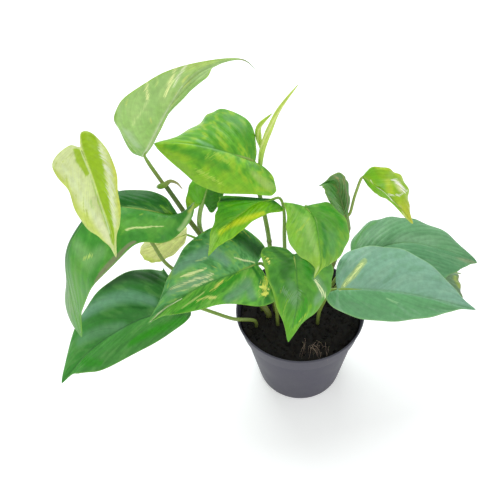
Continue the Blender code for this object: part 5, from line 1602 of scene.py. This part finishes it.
make_leaf(
    "leaf_right_front",
    dict(midrib=[(29.6, -20.2, 143.8), (58.1, -19.7, 139.5), (89.4, -19.5, 130.7), (124.3, -21.6, 118.5),
                 (155.2, -24.8, 107.1)],
         left=(70.2, 19.1, 154), right=(60.9, -38.3, 125.5),
         left_full=(0.94, 0.99, 0.98, 1.09, 1.09, 1.02),
         left_slide=(0.1, 1.2, 3.5, 4.5, 3.7, -2.3),
         right_full=(0.45, 0.87, 1.16, 1.15, 0.95, 0.62),
         right_slide=(-3.2, -4.2, -3.4, 2.1, 2.1, -2.7),
         lobe=(4, 8), tail=(0.42, 0.42), bulge=(4, 4),
         foot=(15, -14),
         petiole=[(16, -14, 106), (19, -15, 120), (24, -18, 139)],
         seed=16, veins=(9, 0.17)),
    # The left half's pale blue-green is painted sheen over a green like the right half's.
    painted(strokes=STROKES["leaf_right_front"], mottle=(9, (95, 152, 102), (146, 186, 155), 0.3),
            left=(126, 172, 144), right=(98, 160, 104), rib=(140, 186, 146), edge=(144, 189, 115),
            vein=-0.08),
    plain_under((120, 164, 110)),
)

# %% [markdown]
# ## New leaves
#
# A pothos sends up each new leaf rolled into a spear. Its section is a spiral: the radius grows slowly
# round the roll and steps back where the outer edge lies on the turn below, which leaves the long seam.

# %% Rolled leaves
ROLL_STATIONS, ROLL_SIDES = 90, 36
SEAM_AT = 0.97


def rolled_leaf(name, points, radius, tone):
    """A tube whose section is a spiral that steps back at the seam, closed at both ends."""
    route = Route(points)
    share = np.linspace(0.0, 1.0, ROLL_STATIONS)
    s = share * route.length
    seam = np.linspace(0, 1, ROLL_SIDES)
    angle = 2 * math.pi * np.minimum(seam / SEAM_AT, 1.0)[None, :] + 2.6 * share[:, None]
    r = np.interp(share, np.linspace(0, 1, len(radius)), radius)[:, None]
    spiral = 0.82 + 0.36 * np.where(seam < SEAM_AT, seam / SEAM_AT, (1 - seam) / 0.03)[None, :]
    body = route.point(s)[:, None, :] + rings_round(route.heading(s), angle) * (r * spiral)[..., None]
    verts, quads, caps = closed_tube(body, route.point(0.0), route.point(route.length))
    along = np.concatenate([np.repeat(share, ROLL_SIDES), [0.0, 1.0]])
    round_it = np.concatenate([np.tile(seam, ROLL_STATIONS), [0, 0]])
    on_body = np.arange(len(along)) < ROLL_STATIONS * ROLL_SIDES
    lip = np.exp(-(((round_it - 0.93) / 0.05) ** 2)) * on_body
    colour = over(tone + 0 * along[:, None], shade(120, 180, 60), 0.7 * (1 - rise(along, 0.0, 0.5)))
    colour = over(colour, shade(226, 236, 150), 0.7 * lip)
    place = np.column_stack([along * route.length, round_it * 6, 0 * along])
    no_marks = np.zeros((len(colour), 4))
    return piece_of(name + "_spear", name, verts, quads, caps, colour, place, young_skin, marks=no_marks)


rolled_leaf("leaf_rolled_new",
            [(-31.5, 9, 252), (-31, 9, 262), (-29.5, 9.2, 274), (-26.5, 9.5, 285.5), (-22.6, 10, 296.1),
             (-17.4, 10.5, 308.8), (-10.5, 11, 320), (-2.6, 12, 330.1)],
            (1.2, 2.1, 2.5, 1.6, 0.3), shade(190, 214, 90))
rolled_leaf("leaf_narrow_new",
            [(-33, 12.5, 248), (-30, 17, 258), (-29, 22, 268), (-30.6, 25.5, 276.7), (-30.4, 26.5, 284.5),
             (-27.1, 26, 290.6), (-20.2, 26, 297.6)],
            (0.8, 0.9, 1.3, 2.6, 1.8, 0.3), shade(176, 210, 70))

# %% Measure and finish
seen_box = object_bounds()
for label, low, high in (("CAD", *cad_box), ("seen", *seen_box)):
    print(label, [round(v * 1000, 1) for v in low], [round(v * 1000, 1) for v in high])
shown = [o.data for o in bpy.data.objects if o.type == "MESH" and not o.hide_render]
print("triangles:", sum(len(p.vertices) - 2 for mesh in shown for p in mesh.polygons))
